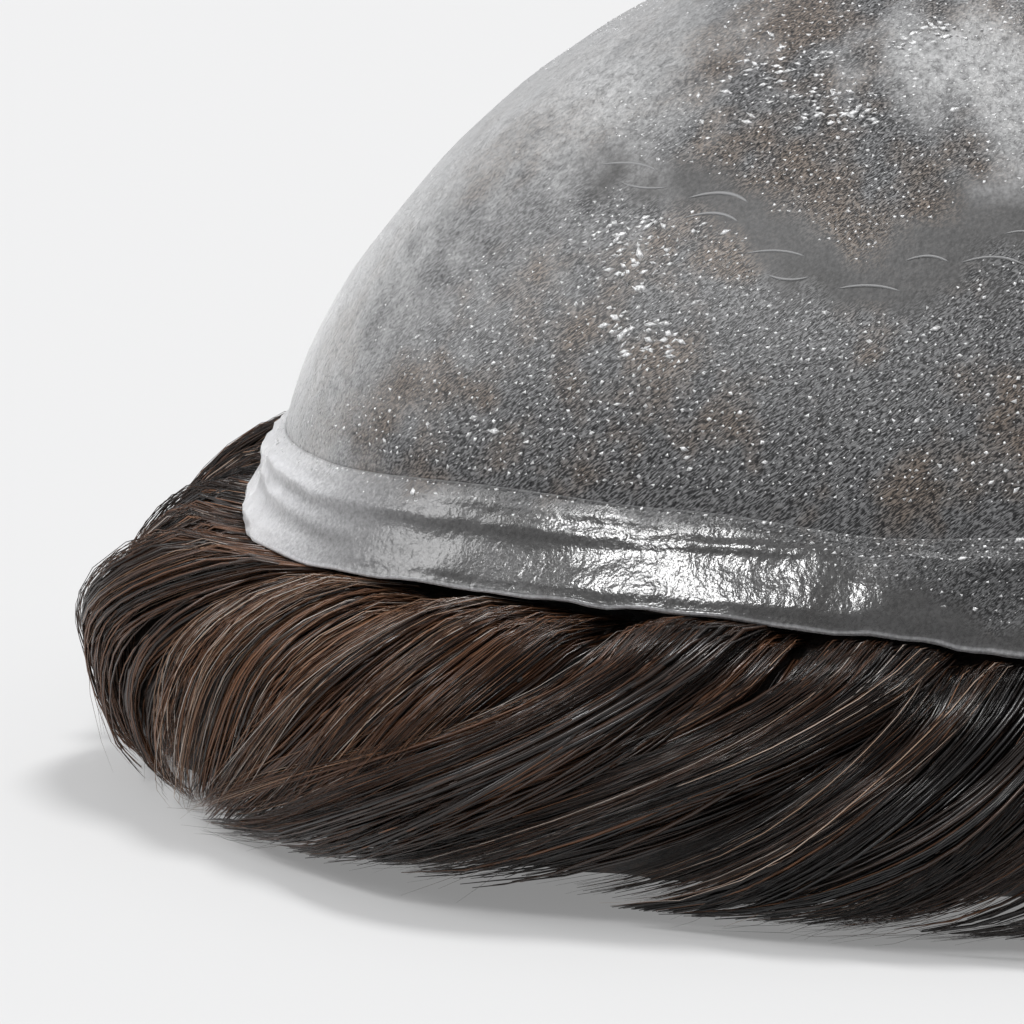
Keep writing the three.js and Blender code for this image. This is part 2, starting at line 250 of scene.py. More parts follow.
def outward_of(surface, angle, way, step):
    """The directions square to a surface, from its slopes down and round at each place"""
    down = surface(angle, way + step) - surface(angle, way - step)
    around = surface(angle + NUDGE, way) - surface(angle - NUDGE, way)
    return unit(np.cross(down, around))


def degrees_from(angle, at):
    """How far an angle in radians is from a place in degrees, the short way round"""
    return (np.degrees(angle) - at + 180) % 360 - 180


def apply_modifier(piece, kind, **settings):
    modifier = piece.modifiers.new(kind.lower(), kind)
    for name, value in settings.items():
        setattr(modifier, name, value)
    only(piece)
    bpy.ops.object.modifier_apply(modifier=modifier.name)


# %% [markdown]
# A film of polymer that has cured over a mould is never flat. Its waves are a sum of a few sine waves
# in random directions, the cheapest noise there is, and the seed keeps it the same each time.

# %% Waves in a film


def ripples(points, length, seed, waves=9):
    """Smooth noise from -1 to 1 at points, whose humps are about a length apart"""
    random = np.random.default_rng(seed)
    ways = unit(random.normal(size=(waves, 3))) * (2 * np.pi / length)
    ways = ways * random.uniform(0.6, 1.6, (waves, 1))
    turns = random.uniform(0, 2 * np.pi, waves)
    return np.sin(points @ ways.T + turns).sum(axis=-1) / math.sqrt(waves) / 1.6


print("ripple sample:", ripples(np.zeros((1, 3)), 5 * MM, seed=1).round(3))

# %% [markdown]
# ## The knotted skin
# The skin is a film less than a millimetre thick. A sphere's upper half has the same rings and spokes
# as a cap, so it is cut at its equator and drawn out to the cap's profile, its open edge is extruded
# down behind the band, and a Solidify modifier gives the film its wall.

# %% The skin as a shaped half sphere
bpy.ops.object.select_all(action="DESELECT")
bpy.ops.mesh.primitive_uv_sphere_add(segments=160, ring_count=80, radius=1)
skin = bpy.context.object
bpy.ops.object.mode_set(mode="EDIT")
bpy.ops.mesh.select_all(action="SELECT")
bpy.ops.mesh.bisect(plane_co=(0, 0, -1e-4), plane_no=(0, 0, 1), clear_inner=True)
bpy.ops.object.mode_set(mode="OBJECT")

SKIN_WAVE = 0.35 * MM
SKIN_CREASES = table(
    "from_angle from_slope to_angle to_slope bow height width",
    (-50, 42, 8, 30, 5, 0.30, 1.4),
    (-38, 36, -4, 22, -4, 0.22, 1.2),
    (4, 44, 46, 34, 6, 0.26, 1.5),
    (-70, 60, -46, 20, 6, 0.2, 1.6),
    (60, 58, 100, 40, 5, 0.3, 1.5),
    (118, 34, 170, 48, -6, 0.26, 1.4),
    (186, 46, 232, 28, 6, 0.28, 1.5),
    (240, 64, 262, 30, -5, 0.22, 1.6),
)


def creases(points):
    """Height of the low folds that the film keeps from having been packed, in metres"""
    height = np.zeros(len(points))
    for row in zip(*SKIN_CREASES.values()):
        start, end = dome_point(np.radians([row[0], row[2]]), np.radians([row[1], row[3]]))
        middle = (start + end) / 2 + row[4] * MM * np.array([0, 0, 1])
        for t in np.linspace(0, 1, 60):
            at = (1 - t) ** 2 * start + 2 * t * (1 - t) * middle + t**2 * end
            near = np.exp(-(((points - at) ** 2).sum(axis=1)) / (row[6] * MM) ** 2)
            height = np.maximum(height, row[5] * MM * near * math.sin(math.pi * t) ** 0.5)
    return height


def skin_surface(angle, slope):
    """The skin's outer face with its waves, which fade out at the band"""
    point = dome_point(angle, slope)
    outward = unit(point - np.array([*CENTRE, SEAM - 20 * MM]))
    calm = np.clip((np.pi / 2 - slope) / 0.25, 0, 1)
    flat = point.reshape(-1, 3)
    wave = SKIN_WAVE * (0.7 * ripples(flat, 34 * MM, seed=3) + 0.3 * ripples(flat, 11 * MM, seed=4))
    return point + outward * (calm.ravel() * (wave - SKIN_WAVE + creases(flat))).reshape(*calm.shape, 1)


ball = vertices_of(skin)
angle_of_skin = np.arctan2(ball[:, 1], ball[:, 0])
slope_of_skin = np.minimum(np.arccos(np.clip(ball[:, 2], -1, 1)), np.pi / 2)
move_vertices(skin, skin_surface(angle_of_skin, slope_of_skin))
print("skin vertices:", len(ball))

# %% The skin's hidden edge and its wall
SKIN_WALL = 0.8 * MM
bpy.ops.object.mode_set(mode="EDIT")
bpy.ops.mesh.select_all(action="DESELECT")
bpy.ops.mesh.select_mode(type="EDGE")
bpy.ops.mesh.select_non_manifold()
bpy.ops.mesh.extrude_region_move(TRANSFORM_OT_translate={"value": (0, 0, -SKIN_LAP)})
bpy.ops.object.mode_set(mode="OBJECT")
turn_faces_outward()
apply_modifier(skin, "SOLIDIFY", thickness=SKIN_WALL, offset=-1)
finished(skin, "knotted_skin", "knotted_skin", "skin_dome")

# %% [markdown]
# ## Knots
# Every hair is tied to the skin with one knot, and the knots stand in rows. Each is a low pyramid less
# than half a millimetre wide, drawn out along the hair, which smooth shading rounds into a bead that
# catches the light. They are set ring by ring, each ring turned by half a step against the last.
# Bare patches have none, and in the glinting patches they are larger and some have a twin.

# %% Rows of knots
KNOT_PITCH = 0.98 * MM
KNOT_WIDTH = 0.2 * MM
KNOT_HEIGHT = 0.1 * MM
KNOT_SUNK = 0.03 * MM
KNOTS_STOP = 0.13  # how far above the seam the knots stop, in radians
TWINS = 0.75  # the share of knots that have a second one beside them in the middle of a glinting patch
# Patches of the film: a place on the dome in degrees, and how far each reaches across and up in mm
BARE_PATCHES = table(
    "angle slope width height",
    (-54, 50, 6, 3.2),
    (-47, 51, 6, 3.4),
    (-40, 52, 4.5, 2.6),
    (-35, 55, 4, 3.4),
    (-30, 58.5, 5, 2.8),
    (-23, 59.5, 5, 3),
    (-18, 57, 5, 3.6),
    (-12, 53, 6, 4.5),
    (24, 40, 7, 6),
    (70, 30, 9, 6),
    (140, 50, 9, 5),
    (200, 40, 8, 6),
)
GLINT_PATCHES = table(
    "angle slope width height",
    (-47, 57, 6, 5),
    (-42, 66, 6, 3),
    (-45, 38, 7, 5),
    (-36, 42, 6, 4),
    (-31, 33, 4, 4),
    (30, 55, 8, 6),
    (100, 50, 8, 7),
    (165, 60, 9, 6),
    (225, 45, 7, 7),
)
MATTE_PATCHES = table(
    "angle slope width height",
    (-82, 68, 37, 24),
    (-76, 50, 33, 24),
    (-68, 38, 16, 10),
    (-104, 60, 20, 26),
)
# Frost on the film, painted light grey. On the hairline's side it is partly painted sheen, for the aslant
# view and the rim lamp, and the last two rows, near the crown, are a painted highlight of the key lamp.
FROST_AND_SHEEN_PATCHES = table(
    "angle slope width height",
    (-88, 80, 48, 24),
    (-85, 60, 33, 26),
    (-80, 42, 34, 21),
    (-65, 42, 15, 11),
    (-20, 36, 14, 10),
    (-7, 43, 9, 9),
)


def knot_places(random):
    """Angles and slopes of the knots, about a pitch apart in every direction"""
    angles, slopes = [], []
    fine = np.linspace(0, np.pi / 2 - KNOTS_STOP, 400)
    way = np.linalg.norm(np.diff(dome_point(np.full(400, -0.3), fine), axis=0), axis=1).cumsum()
    rows = np.interp(np.arange(KNOT_PITCH, way[-1], KNOT_PITCH), way, fine[1:])
    turn = np.linspace(0, 2 * np.pi, 361)
    for index, slope in enumerate(rows):
        ring = dome_point(turn, np.full(361, slope))
        length = np.linalg.norm(np.diff(ring, axis=0), axis=1).cumsum()
        count = max(6, round(length[-1] / KNOT_PITCH))
        steps = (np.arange(count) + 0.5 * (index % 2)) / count * length[-1]
        angles.append(np.interp(steps, np.append(0, length), turn))
        slopes.append(np.full(count, slope))
    angles, slopes = np.concatenate(angles), np.concatenate(slopes)
    return angles + random.normal(0, 0.002, len(angles)), slopes + random.normal(0, 0.003, len(slopes))


def patchiness(patches, points, gain=1.7):
    """1 in the middle of a patch and 0 outside all of them. The gain says how sudden the edge is."""
    inside = np.zeros(len(points))
    small_waves = 0.25 * ripples(points, 3 * MM, seed=5)
    for angle, slope, width, height in zip(*patches.values()):
        middle = dome_point(np.array(math.radians(angle)), np.array(math.radians(slope)))
        side = np.array([-math.sin(math.radians(angle)), math.cos(math.radians(angle)), 0])
        away = points - middle
        across = away @ side
        up = np.sqrt(np.maximum((away**2).sum(axis=1) - across**2, 0))
        edge = 1 + 0.35 * ripples(points, 9 * MM, seed=int(angle) + 400) + small_waves
        away = np.hypot(across / (width * MM), up / (height * MM)) / edge
        inside = np.maximum(inside, 1.15 - away)
    return np.clip(inside * gain, 0, 1)


def pyramids(centres, outward, width, height, stretch, tilt, uneven, sides):
    """A low pyramid at each centre, longer along its tilt than across: corners, and faces that close it.
    uneven has a factor for each corner, so that no two pyramids have the same outline."""
    level = unit(np.cross(outward, [0.3, 0.2, 1]))
    upward = np.cross(outward, level)
    long = level * np.cos(tilt)[:, None] + upward * np.sin(tilt)[:, None]
    short = np.cross(outward, long)
    corners = [
        centres
        + long * (uneven[:, k] * width * stretch * math.cos(2 * math.pi * k / sides))[:, None]
        + short * (uneven[:, k] * width * math.sin(2 * math.pi * k / sides))[:, None]
        for k in range(sides)
    ]
    points = np.stack([*corners, centres + outward * height[:, None]], axis=1).reshape(-1, 3)
    shapes = [(0, k + 1, k) for k in range(1, sides - 1)]
    shapes += [(k, (k + 1) % sides, sides) for k in range(sides)]
    first = (sides + 1) * np.arange(len(centres))[:, None]
    return points, np.concatenate([first + np.array(shape) for shape in shapes])


# %% [markdown]
# Thousands of small shapes would be slow to add one by one, so their corners are worked out in one
# go and handed to the mesh as arrays. The same helper makes the hair.

# %% A mesh from arrays


def piece_from_arrays(points, quads, triangles, lay=None):
    """A new object. lay is four numbers for each vertex, kept as the attribute that materials read."""
    mesh = bpy.data.meshes.new("new")
    mesh.vertices.add(len(points))
    mesh.vertices.foreach_set("co", points.ravel())
    corners = np.concatenate([quads.ravel(), triangles.ravel()]).astype(np.int32)
    mesh.loops.add(len(corners))
    mesh.loops.foreach_set("vertex_index", corners)
    starts = np.concatenate([4 * np.arange(len(quads)), 4 * len(quads) + 3 * np.arange(len(triangles))])
    mesh.polygons.add(len(starts))
    mesh.polygons.foreach_set("loop_start", starts.astype(np.int32))
    mesh.update(calc_edges=True)
    if lay is not None:
        mesh.attributes.new("lay", "FLOAT_COLOR", "POINT").data.foreach_set("color", lay.ravel())
    piece = bpy.data.objects.new("new", mesh)
    bpy.context.scene.collection.objects.link(piece)
    return piece


# %% Knots where the film has them
knot_random = np.random.default_rng(11)
knot_angles, knot_slopes = knot_places(knot_random)
knots_at = skin_surface(knot_angles, knot_slopes)
with_twin = TWINS * patchiness(GLINT_PATCHES, knots_at)
twin = np.flatnonzero(knot_random.uniform(0, 1, len(knots_at)) < with_twin)
knot_angles = np.append(knot_angles, knot_angles[twin] + knot_random.normal(0, 0.011, len(twin)))
knot_slopes = np.append(knot_slopes, knot_slopes[twin] + knot_random.normal(0, 0.009, len(twin)))
knots_at = skin_surface(knot_angles, knot_slopes)
bare = np.maximum(patchiness(BARE_PATCHES, knots_at, 4), patchiness(MATTE_PATCHES, knots_at))
kept = bare < knot_random.uniform(0.05, 0.9, len(knots_at))
knot_angles, knot_slopes, knots_at = knot_angles[kept], knot_slopes[kept], knots_at[kept]
skin_outward = outward_of(dome_point, knot_angles, knot_slopes, NUDGE)


def make_knots(places, outward, name, slot):
    """Small knots have three sides, and large ones four. Glinting ones are drawn out more."""
    count = len(places)
    glint = patchiness(GLINT_PATCHES, places)
    odd = knot_random.uniform(0, 1, count) < 0.015 + 0.7 * glint
    size = knot_random.uniform(0.5, 1.2, count) * (1 + 0.4 * odd)
    stretch = knot_random.uniform(1, 1.6, count) * (1 + 0.6 * odd)
    tilt = knot_random.normal(0.5, 0.5, count)
    sunk = places - outward * KNOT_SUNK
    uneven = knot_random.uniform(0.6, 1.4, (count, 4))
    shapes = (sunk, outward, KNOT_WIDTH * size, KNOT_HEIGHT * size, stretch, tilt, uneven)
    large = size > 1.15
    points, faces = pyramids(*(value[~large] for value in shapes), 3)
    more_points, more_faces = pyramids(*(value[large] for value in shapes), 4)
    faces = np.concatenate([faces, more_faces + len(points)])
    piece = piece_from_arrays(np.concatenate([points, more_points]), np.empty((0, 4)), faces)
    return finished(piece, name, slot)


knots = make_knots(knots_at, skin_outward, "knots", "knotted_skin")

# %% The patches kept as an attribute of the skin


def keep_film(piece, clear, frost_and_sheen, pale_painted_light, dull):
    """What the film's material reads at each vertex: how clear it is, how hazy (frost that is partly
    painted sheen and a painted highlight), how pale (painted light) and how dull
    """
    film = np.stack(np.broadcast_arrays(clear, frost_and_sheen, pale_painted_light, dull), axis=-1)
    piece.data.attributes.new("film", "FLOAT_COLOR", "POINT").data.foreach_set("color", film.ravel())


skin_points = vertices_of(skin)
skin_clear, skin_frost_and_sheen = patchiness(BARE_PATCHES, skin_points, 4), patchiness(FROST_AND_SHEEN_PATCHES, skin_points, 1.2)
keep_film(skin, skin_clear, skin_frost_and_sheen, 0.0, 0.0)

# %% [markdown]
# ## The clear band
# The band is a ring with a flat section: feathered at its upper edge, with two thin ridges where it is
# glued over the skin, a bulge, and a bead along its lower edge. A torus has just such a ring of faces,
# closed both ways, so each of its vertices is moved to the band's own section.

# %% The band as a shaped torus
BAND_LAP = 3.4 * MM
BAND_FLARE = 4 * MM
BAND_LIE = 1.6 * MM
BAND_SIDES = 52
# The stretch where the band lies loose: no hair is behind it there, so it is wrinkled, and it is painted
# pale: painted light, for the light that would shine through the clear film
PALE_AT = math.radians(-86)
PALE_REACH = math.radians(23.5)
# Beside it the band has lost its gloss
DULL_AT = math.radians(-65)
DULL_REACH = math.radians(11)
# way: share of the way from the upper edge to the lower one. lap and down: shares of the band's
# height above and below the seam. lie: share of its lie off the skin. out: share of its flare.
# ridge and wall: mm.
BAND_SECTION = table(
    "way lap down lie out ridge wall",
    (0.00, 1.00, 0.00, -0.07, 0.00, 0.00, 0.15),
    (0.05, 0.86, 0.00, 0.08, 0.00, 0.02, 0.35),
    (0.10, 0.72, 0.00, 0.26, 0.00, 0.04, 0.60),
    (0.14, 0.60, 0.00, 0.42, 0.00, 0.10, 0.80),
    (0.19, 0.46, 0.00, 0.58, 0.00, -0.02, 0.80),
    (0.26, 0.26, 0.00, 0.80, 0.02, 0.04, 0.85),
    (0.30, 0.14, 0.00, 0.92, 0.04, 0.17, 0.90),
    (0.35, 0.02, 0.05, 1.00, 0.09, 0.00, 0.85),
    (0.45, 0.00, 0.22, 1.00, 0.26, -0.03, 0.90),
    (0.60, 0.00, 0.48, 1.00, 0.52, 0.05, 1.00),
    (0.76, 0.00, 0.74, 1.00, 0.79, 0.06, 1.00),
    (0.88, 0.00, 0.90, 1.00, 0.90, 0.02, 1.00),
    (0.95, 0.00, 0.97, 1.00, 0.95, 0.08, 1.15),
    (1.00, 0.00, 1.03, 1.00, 0.92, 0.00, 0.90),
)


# Folds: where each lies, in degrees and as a share of the way down, how high it stands in mm,
# how it slants, and how wide and how long it is
BAND_FOLDS = table(
    "angle way height slant width reach",
    (-84, 0.34, 0.5, 0.006, 0.05, 7),
    (-72, 0.26, 0.4, 0.004, 0.035, 9),
    (-70, 0.5, 0.35, 0.009, 0.045, 8),
    (-90, 0.6, 0.5, -0.012, 0.07, 5),
    (-80, 0.74, 0.4, 0.012, 0.06, 6),
    (-98, 0.4, 0.4, -0.008, 0.06, 7),
    (118, 0.4, 0.35, 0.006, 0.05, 8),
    (24, 0.55, 0.3, -0.006, 0.05, 8),
)


def folds(rows, angle, way):
    """The height that the rows of a table add up to at each place"""
    height = 0
    for row in zip(*rows.values()):
        along = degrees_from(angle, row[0])
        across = (way - row[1] - row[3] * along) / row[4]
        height = height + row[2] * np.exp(-(across**2) - (along / row[5]) ** 2)
    return height


def band_point(angle, way, inner=0):
    """A point on the band's outer face, or through the wall on its inner one"""
    names = ("flare", "lift", "sag", "lap")
    flare, lift, sag, lap = (round_the_rim(BAND_WAVES, name, angle) for name in names)
    at = {name: np.interp(way, BAND_SECTION["way"], BAND_SECTION[name]) for name in BAND_SECTION}
    crease = BAND_DROP * sag * np.sin(np.pi * np.clip(at["down"], 0, 1))
    rise = BAND_LAP * lap * at["lap"] / CAP_DEPTH
    inset = HALF_WIDTH * (1 - (1 - rise**CROWN_FULLNESS) ** (1 / CROWN_FULLNESS))
    out = BAND_LIE * at["lie"] + BAND_FLARE * flare * at["out"] - crease - inset
    x, y = outline(angle, out)
    height = SEAM + BAND_LAP * lap * at["lap"] - BAND_DROP * at["down"] * (1 - lift)
    point = placed(x, y, height)
    body = np.clip(way / 0.2, 0, 1)
    relief = at["ridge"] * (0.8 + 0.5 * ripples(point, 16 * MM, seed=21))
    loose = body * (1 + 3.5 * np.exp(-(((angle - PALE_AT) / PALE_REACH) ** 2)))
    relief += loose * (0.065 * ripples(point, 5 * MM, seed=22) + 0.03 * ripples(point, 2.2 * MM, seed=23))
    relief += folds(BAND_FOLDS, angle, way) - inner * at["wall"]
    x, y = outline(angle, out + relief * MM)
    wander = body * 0.22 * MM * ripples(point, 8 * MM, seed=24)
    return placed(x, y, height + wander)


bpy.ops.object.select_all(action="DESELECT")
bpy.ops.mesh.primitive_torus_add(
    major_segments=420, minor_segments=BAND_SIDES, major_radius=1, minor_radius=0.2
)
band = bpy.context.object
ring = vertices_of(band)
angle_of_band = np.arctan2(ring[:, 1], ring[:, 0])
side_of_band = np.arctan2(ring[:, 2], np.hypot(ring[:, 0], ring[:, 1]) - 1)
station = np.round(side_of_band / (2 * np.pi) * BAND_SIDES).astype(int)
half = BAND_SIDES // 2
way_of_band = 0.5 - station / half
inner_of_band = np.abs(way_of_band - 0.5) > 0.5
on_inner_face = np.where(way_of_band > 1, 2 - way_of_band, -way_of_band)
way_of_band = np.where(inner_of_band, on_inner_face, way_of_band)
move_vertices(band, band_point(angle_of_band, way_of_band, inner_of_band))
only(band)
turn_faces_outward()
finished(band, "clear_band", "clear_band", "rim_band")

# %% [markdown]
# The knotted film runs on under the band for a stretch that differs on the way round, so the band has
# knots too, and its material fades from knotted to clear. Where no hair lies behind it, it is painted
# pale: painted light, for the light that would shine through the clear film.

# %% Where the band is knotted and clear, and where light is painted pale on it
KNOTS_END = table(
    "at knots film",
    (-180, 0.3, 0.3),
    (-150, 0.5, 0.4),
    (-100, 0.12, 0.12),
    (-62, 0.16, 0.1),
    (-48, 0.24, 0.1),
    (-27, 0.34, 0.14),
    (-19, 0.5, 0.42),
    (-8, 0.72, 0.72),
    (15, 0.7, 0.7),
    (45, 0.3, 0.2),
    (80, 0.5, 0.45),
    (120, 0.2, 0.2),
    (150, 0.45, 0.4),
)

# Where the pale end of the band lies close on the dark hair. height is the share of the painted light lost
# there.
POCKETS = table(
    "angle way height slant width reach",
    (-92, 0.3, 0.5, 0.004, 0.05, 2.5),
    (-84, 0.42, 0.55, 0.004, 0.045, 5),
    (-76, 0.5, 0.5, 0.004, 0.05, 4),
    (-68, 0.36, 0.6, 0.004, 0.05, 8),
    (-64, 0.62, 0.6, 0.004, 0.09, 7),
    (-88, 0.66, 0.3, 0.004, 0.05, 3),
)


def clear_share(angle, way, column):
    """0 where the knots or their film go on, and 1 where they have ended"""
    ragged = 0.05 * np.sin(37 * angle) + 0.04 * np.sin(83 * angle + 1)
    return np.clip((way - round_the_rim(KNOTS_END, column, angle) - ragged) / 0.16 + 0.5, 0, 1)


# Painted light: the loose end is painted near white where light would shine through the clear film, and
# less in the pockets where hair lies close behind it
end_share = np.exp(-(((angle_of_band - PALE_AT) / PALE_REACH) ** 4))
near_skin = np.clip(1 - way_of_band / 0.3, 0, 1)
# Painted highlight: the bead along the lower edge is made paler in colour, as if it caught the light
bead_highlight = np.clip((way_of_band - 0.92) / 0.05, 0, 1)
pocket = np.clip(folds(POCKETS, angle_of_band, way_of_band), 0, 1)
pale_painted_light = end_share * (1 - pocket) * (1 - 0.5 * near_skin) + 0.5 * bead_highlight
dull = 0.85 * np.exp(-(((angle_of_band - DULL_AT) / DULL_REACH) ** 2))
band_clear = clear_share(angle_of_band, way_of_band, "film")
keep_film(band, band_clear, 0.9 * end_share * near_skin, pale_painted_light, dull)


def knots_on_band(random):
    """Knots in rows on the upper part of the band, as far down as it is knotted"""
    turn = np.linspace(-np.pi, np.pi, 2001)
    line = band_point(turn, np.zeros(2001) + 0.3, 0)
    length = np.append(0, np.linalg.norm(np.diff(line, axis=0), axis=1).cumsum())
    rows = np.arange(0.03, 0.8, 0.085)
    steps = np.arange(0, length[-1], KNOT_PITCH)
    along, way = np.meshgrid(steps, rows)
    along = along + 0.5 * KNOT_PITCH * (np.arange(len(rows))[:, None] % 2)
    angle, way = np.interp(along.ravel() % length[-1], length, turn), way.ravel()
    kept = clear_share(angle, way, "knots") < random.uniform(0.1, 0.8, len(way))
    angle = angle[kept] + random.normal(0, 0.002, kept.sum())
    way = way[kept] + random.normal(0, 0.008, kept.sum())
    return angle, np.clip(way, 0.01, 0.9)


band_angles, band_ways = knots_on_band(knot_random)
band_outward = outward_of(band_point, band_angles, band_ways, 0.01)
band_knots = make_knots(band_point(band_angles, band_ways), band_outward, "band_knots", "clear_band")

# %% [markdown]
# ## How the hair lies
# Hair leaves the cap under the band, arches out, and curls down and in to the table, and on its way
# it drifts towards the hairline. It gathers in thirty locks, each lock in a few thinner tresses, and
# every tress tapers because its hairs close up towards the tip. A particle system could comb this,
# but its hairs can't be kept as a mesh, so each hair's line is worked out here.

# %% The way of one lock
HAIR_DRIFT = 22
FRONT_DRIFT = 20
FALL_STRAIGHT = 3.2
CURL_UNDER = 0.13
LOCK_COUNT = 30
LOCK_TURN = 2 * math.pi / LOCK_COUNT
LOCK_DEPTH = 8.5
LOCK_PATH = table(
    "reach up drift front_drift straight depth",
    (-0.2, 0.86, 0.0, 0.0, 0.0, 0.5),
    (0.28, 0.93, 0.04, 0.14, 0.0, 0.7),
    (0.66, 0.8, 0.14, 0.4, 0.8, 0.95),
    (0.92, 0.6, 0.34, 0.72, 1.0, 1.0),
    (1.0, 0.38, 0.62, 0.95, 0.7, 0.9),
    (0.95, 0.19, 0.96, 1.0, 0.3, 0.75),
    (0.88, 0.06, 1.3, 0.92, 0.0, 0.3),
)


def drifted(angle, along):
    """The angle of hairs on their way.
    At the sides they fall square to the head before they sweep forward."""
    side, ahead = np.cos(angle), np.clip(-(np.sin(angle) + 0.55) / 0.3, 0, 1)
    at_side = HAIR_DRIFT * along["drift"] * np.abs(side) ** 0.7
    at_front = FRONT_DRIFT * along["front_drift"] * np.abs(side) ** 0.5
    swept = (at_side * (1 - ahead) + at_front * ahead) * np.sign(side)
    return angle - np.radians(swept + FALL_STRAIGHT * along["straight"] * np.sin(2 * angle) * (1 - ahead))


def lock_table():
    """How each lock departs from the common way: what makes locks overlap and cross"""
    random = np.random.default_rng(8)
    return {
        "swing": np.radians(random.normal(0, 2.4, LOCK_COUNT)),
        "sweep": random.normal(0, 0.14, LOCK_COUNT),
        "lift": random.normal(0, 0.7, LOCK_COUNT),
        "bend": random.normal(0, 0.03, LOCK_COUNT),
        "reach": random.normal(0, 0.05, LOCK_COUNT),
    }


LOCKS = lock_table()


def tress_table(seed, per_lock):
    """Random settings for the tresses of one layer, the same at every run"""
    random = np.random.default_rng(seed)
    count = LOCK_COUNT * per_lock
    return {
        "swing": np.radians(random.normal(0, 2.0, count)),
        "lift": random.normal(0, 0.8, count),
        "length": random.uniform(0.86, 1.06, count),
        "curl": random.uniform(-0.5, 1.0, count),
        "warmth": random.uniform(0, 1, count),
        "wave": random.normal(0, 0.021, count),
        "turn": random.uniform(0, 2 * np.pi, count),
    }


def hair_lines(root, share, tresses, per_lock, lift, random):
    """The lines of hairs rooted at angles, as points and the directions outward from the wreath.
    Hairs with a low lift keep to the common way, so that no gap opens where two locks part."""
    count = len(root)
    lock = np.floor(root / LOCK_TURN)
    middle_of_lock = (lock + 0.5) * LOCK_TURN
    tress = np.floor(root / LOCK_TURN * per_lock + random.normal(0, 0.25, count))
    middle_of_tress = (tress + 0.5) * LOCK_TURN / per_lock
    own = {name: values[tress.astype(int) % len(values)][:, None] for name, values in tresses.items()}
    index = lock.astype(int) % LOCK_COUNT
    loose = np.clip((lift + 1.1) / 0.7, 0.1, 1)[:, None]
    common = {name: values[index][:, None] * loose for name, values in LOCKS.items()}
    s = share * own["length"] * random.uniform(0.9, 1.03, count)[:, None]
    closing = np.clip(s, 0, 1) ** 1.5
    start = root[:, None]
    line = start + (middle_of_tress[:, None] - start) * 0.6 * closing
    line = line + (middle_of_lock - middle_of_tress)[:, None] * 0.3 * closing + own["swing"] * s**1.6
    line = line + own["wave"] * np.sin(5.5 * s + own["turn"]) * s
    line = line + random.normal(0, 0.008, count)[:, None] * s**2
    line = line + common["swing"] * s**1.5 + common["bend"] * np.sin(2 * np.pi * s)
    along = {name: on_the_way(LOCK_PATH, name, s) for name in LOCK_PATH}
    spread = 1 + common["sweep"] + random.normal(0, 0.04, count)[:, None]
    along["drift"], along["front_drift"] = along["drift"] * spread, along["front_drift"] * spread
    angle = drifted(line, along)
    curl = 1 + common["reach"] * np.clip(s, 0, 1) - CURL_UNDER * own["curl"] * np.clip(s - 0.5, 0, 1) / 0.5
    point = wreath_point(angle, along["reach"] * curl, along["up"])
    outward = unit(point - wreath_point(angle, np.full_like(s, -0.15), np.full_like(s, 0.42)))
    size = 1 + 0.14 * np.sin(2.4 * index)
    aside = (root - middle_of_lock) / (LOCK_TURN / 2)
    lump = size * np.sqrt(np.maximum(1 - 0.72 * aside**2, 0.05))
    height = 0.5 * LOCK_DEPTH * along["depth"] * lump[:, None] - 0.8
    lifted = common["lift"] + own["lift"] + lift[:, None]
    height = height + 0.8 * np.sin(1.7 * index)[:, None] + lifted * np.sin(np.pi * np.clip(s, 0, 1) ** 0.8)
    point = point + outward * height[..., None] * MM
    return point, outward, own["warmth"][:, 0]


def shares(first, rings, count, random):
    """Where the rings of each hair lie: closer at its bend, and never in step with the next hair"""
    even = np.linspace(0, 1, rings)[None, :] + np.zeros((count, 1))
    even[:, 1:-1] += random.uniform(-0.5, 0.5, (count, 1)) / rings
    return first + (1 - first) * (even + 0.4 * np.sin(2 * np.pi * even) / (2 * np.pi))


print("one lock covers", round(math.degrees(LOCK_TURN), 1), "degrees")

# %% [markdown]
# Two things limit where hair can be: it lies on the table, and it passes under the band's edge.

# %% Hair kept off the table and the band


def kept_clear(point, thickness):
    """Hair pushed up off the table and down from under the band"""
    x, y = point[..., 0] - CENTRE[0], point[..., 1] - CENTRE[1]
    angle = np.arctan2(y, x)
    rim_x, rim_y = outline(angle)
    out = np.hypot(x, y) - np.hypot(rim_x, rim_y)
    wave = {name: round_the_rim(BAND_WAVES, name, angle) for name in ("lift", "flare")}
    edge = SEAM - BAND_DROP * 1.03 * (1 - wave["lift"])
    band_out = BAND_LIE + BAND_FLARE * wave["flare"] + 0.6 * MM
    ceiling = edge - 0.4 * MM + 0.25 * np.maximum(out - band_out, 0)
    soft = 0.5 * MM
    low = thickness + soft * np.logaddexp(0, (point[..., 2] - thickness) / soft)
    point[..., 2] = np.minimum(low, ceiling)
    return point


def rooted(count, first, last, random):
    """Root angles between two partings, spread evenly by the length of the rim"""
    fine = np.linspace(first, last, 400)
    x, y = outline(fine, HAIR_REACH / 2)
    way = np.append(0, np.hypot(np.diff(x), np.diff(y)).cumsum())
    return np.interp(random.uniform(0, way[-1], count), way, fine)


# %% [markdown]
# A hair is a tube, and a closed tube needs at least three sides. That is all it gets: three sides,
# a handful of rings, and a taper at both ends. A wisp is the same thing made flat and wide. It stands
# for a dozen hairs that lie side by side, and its material draws them.

# %% Lines turned into closed hairs


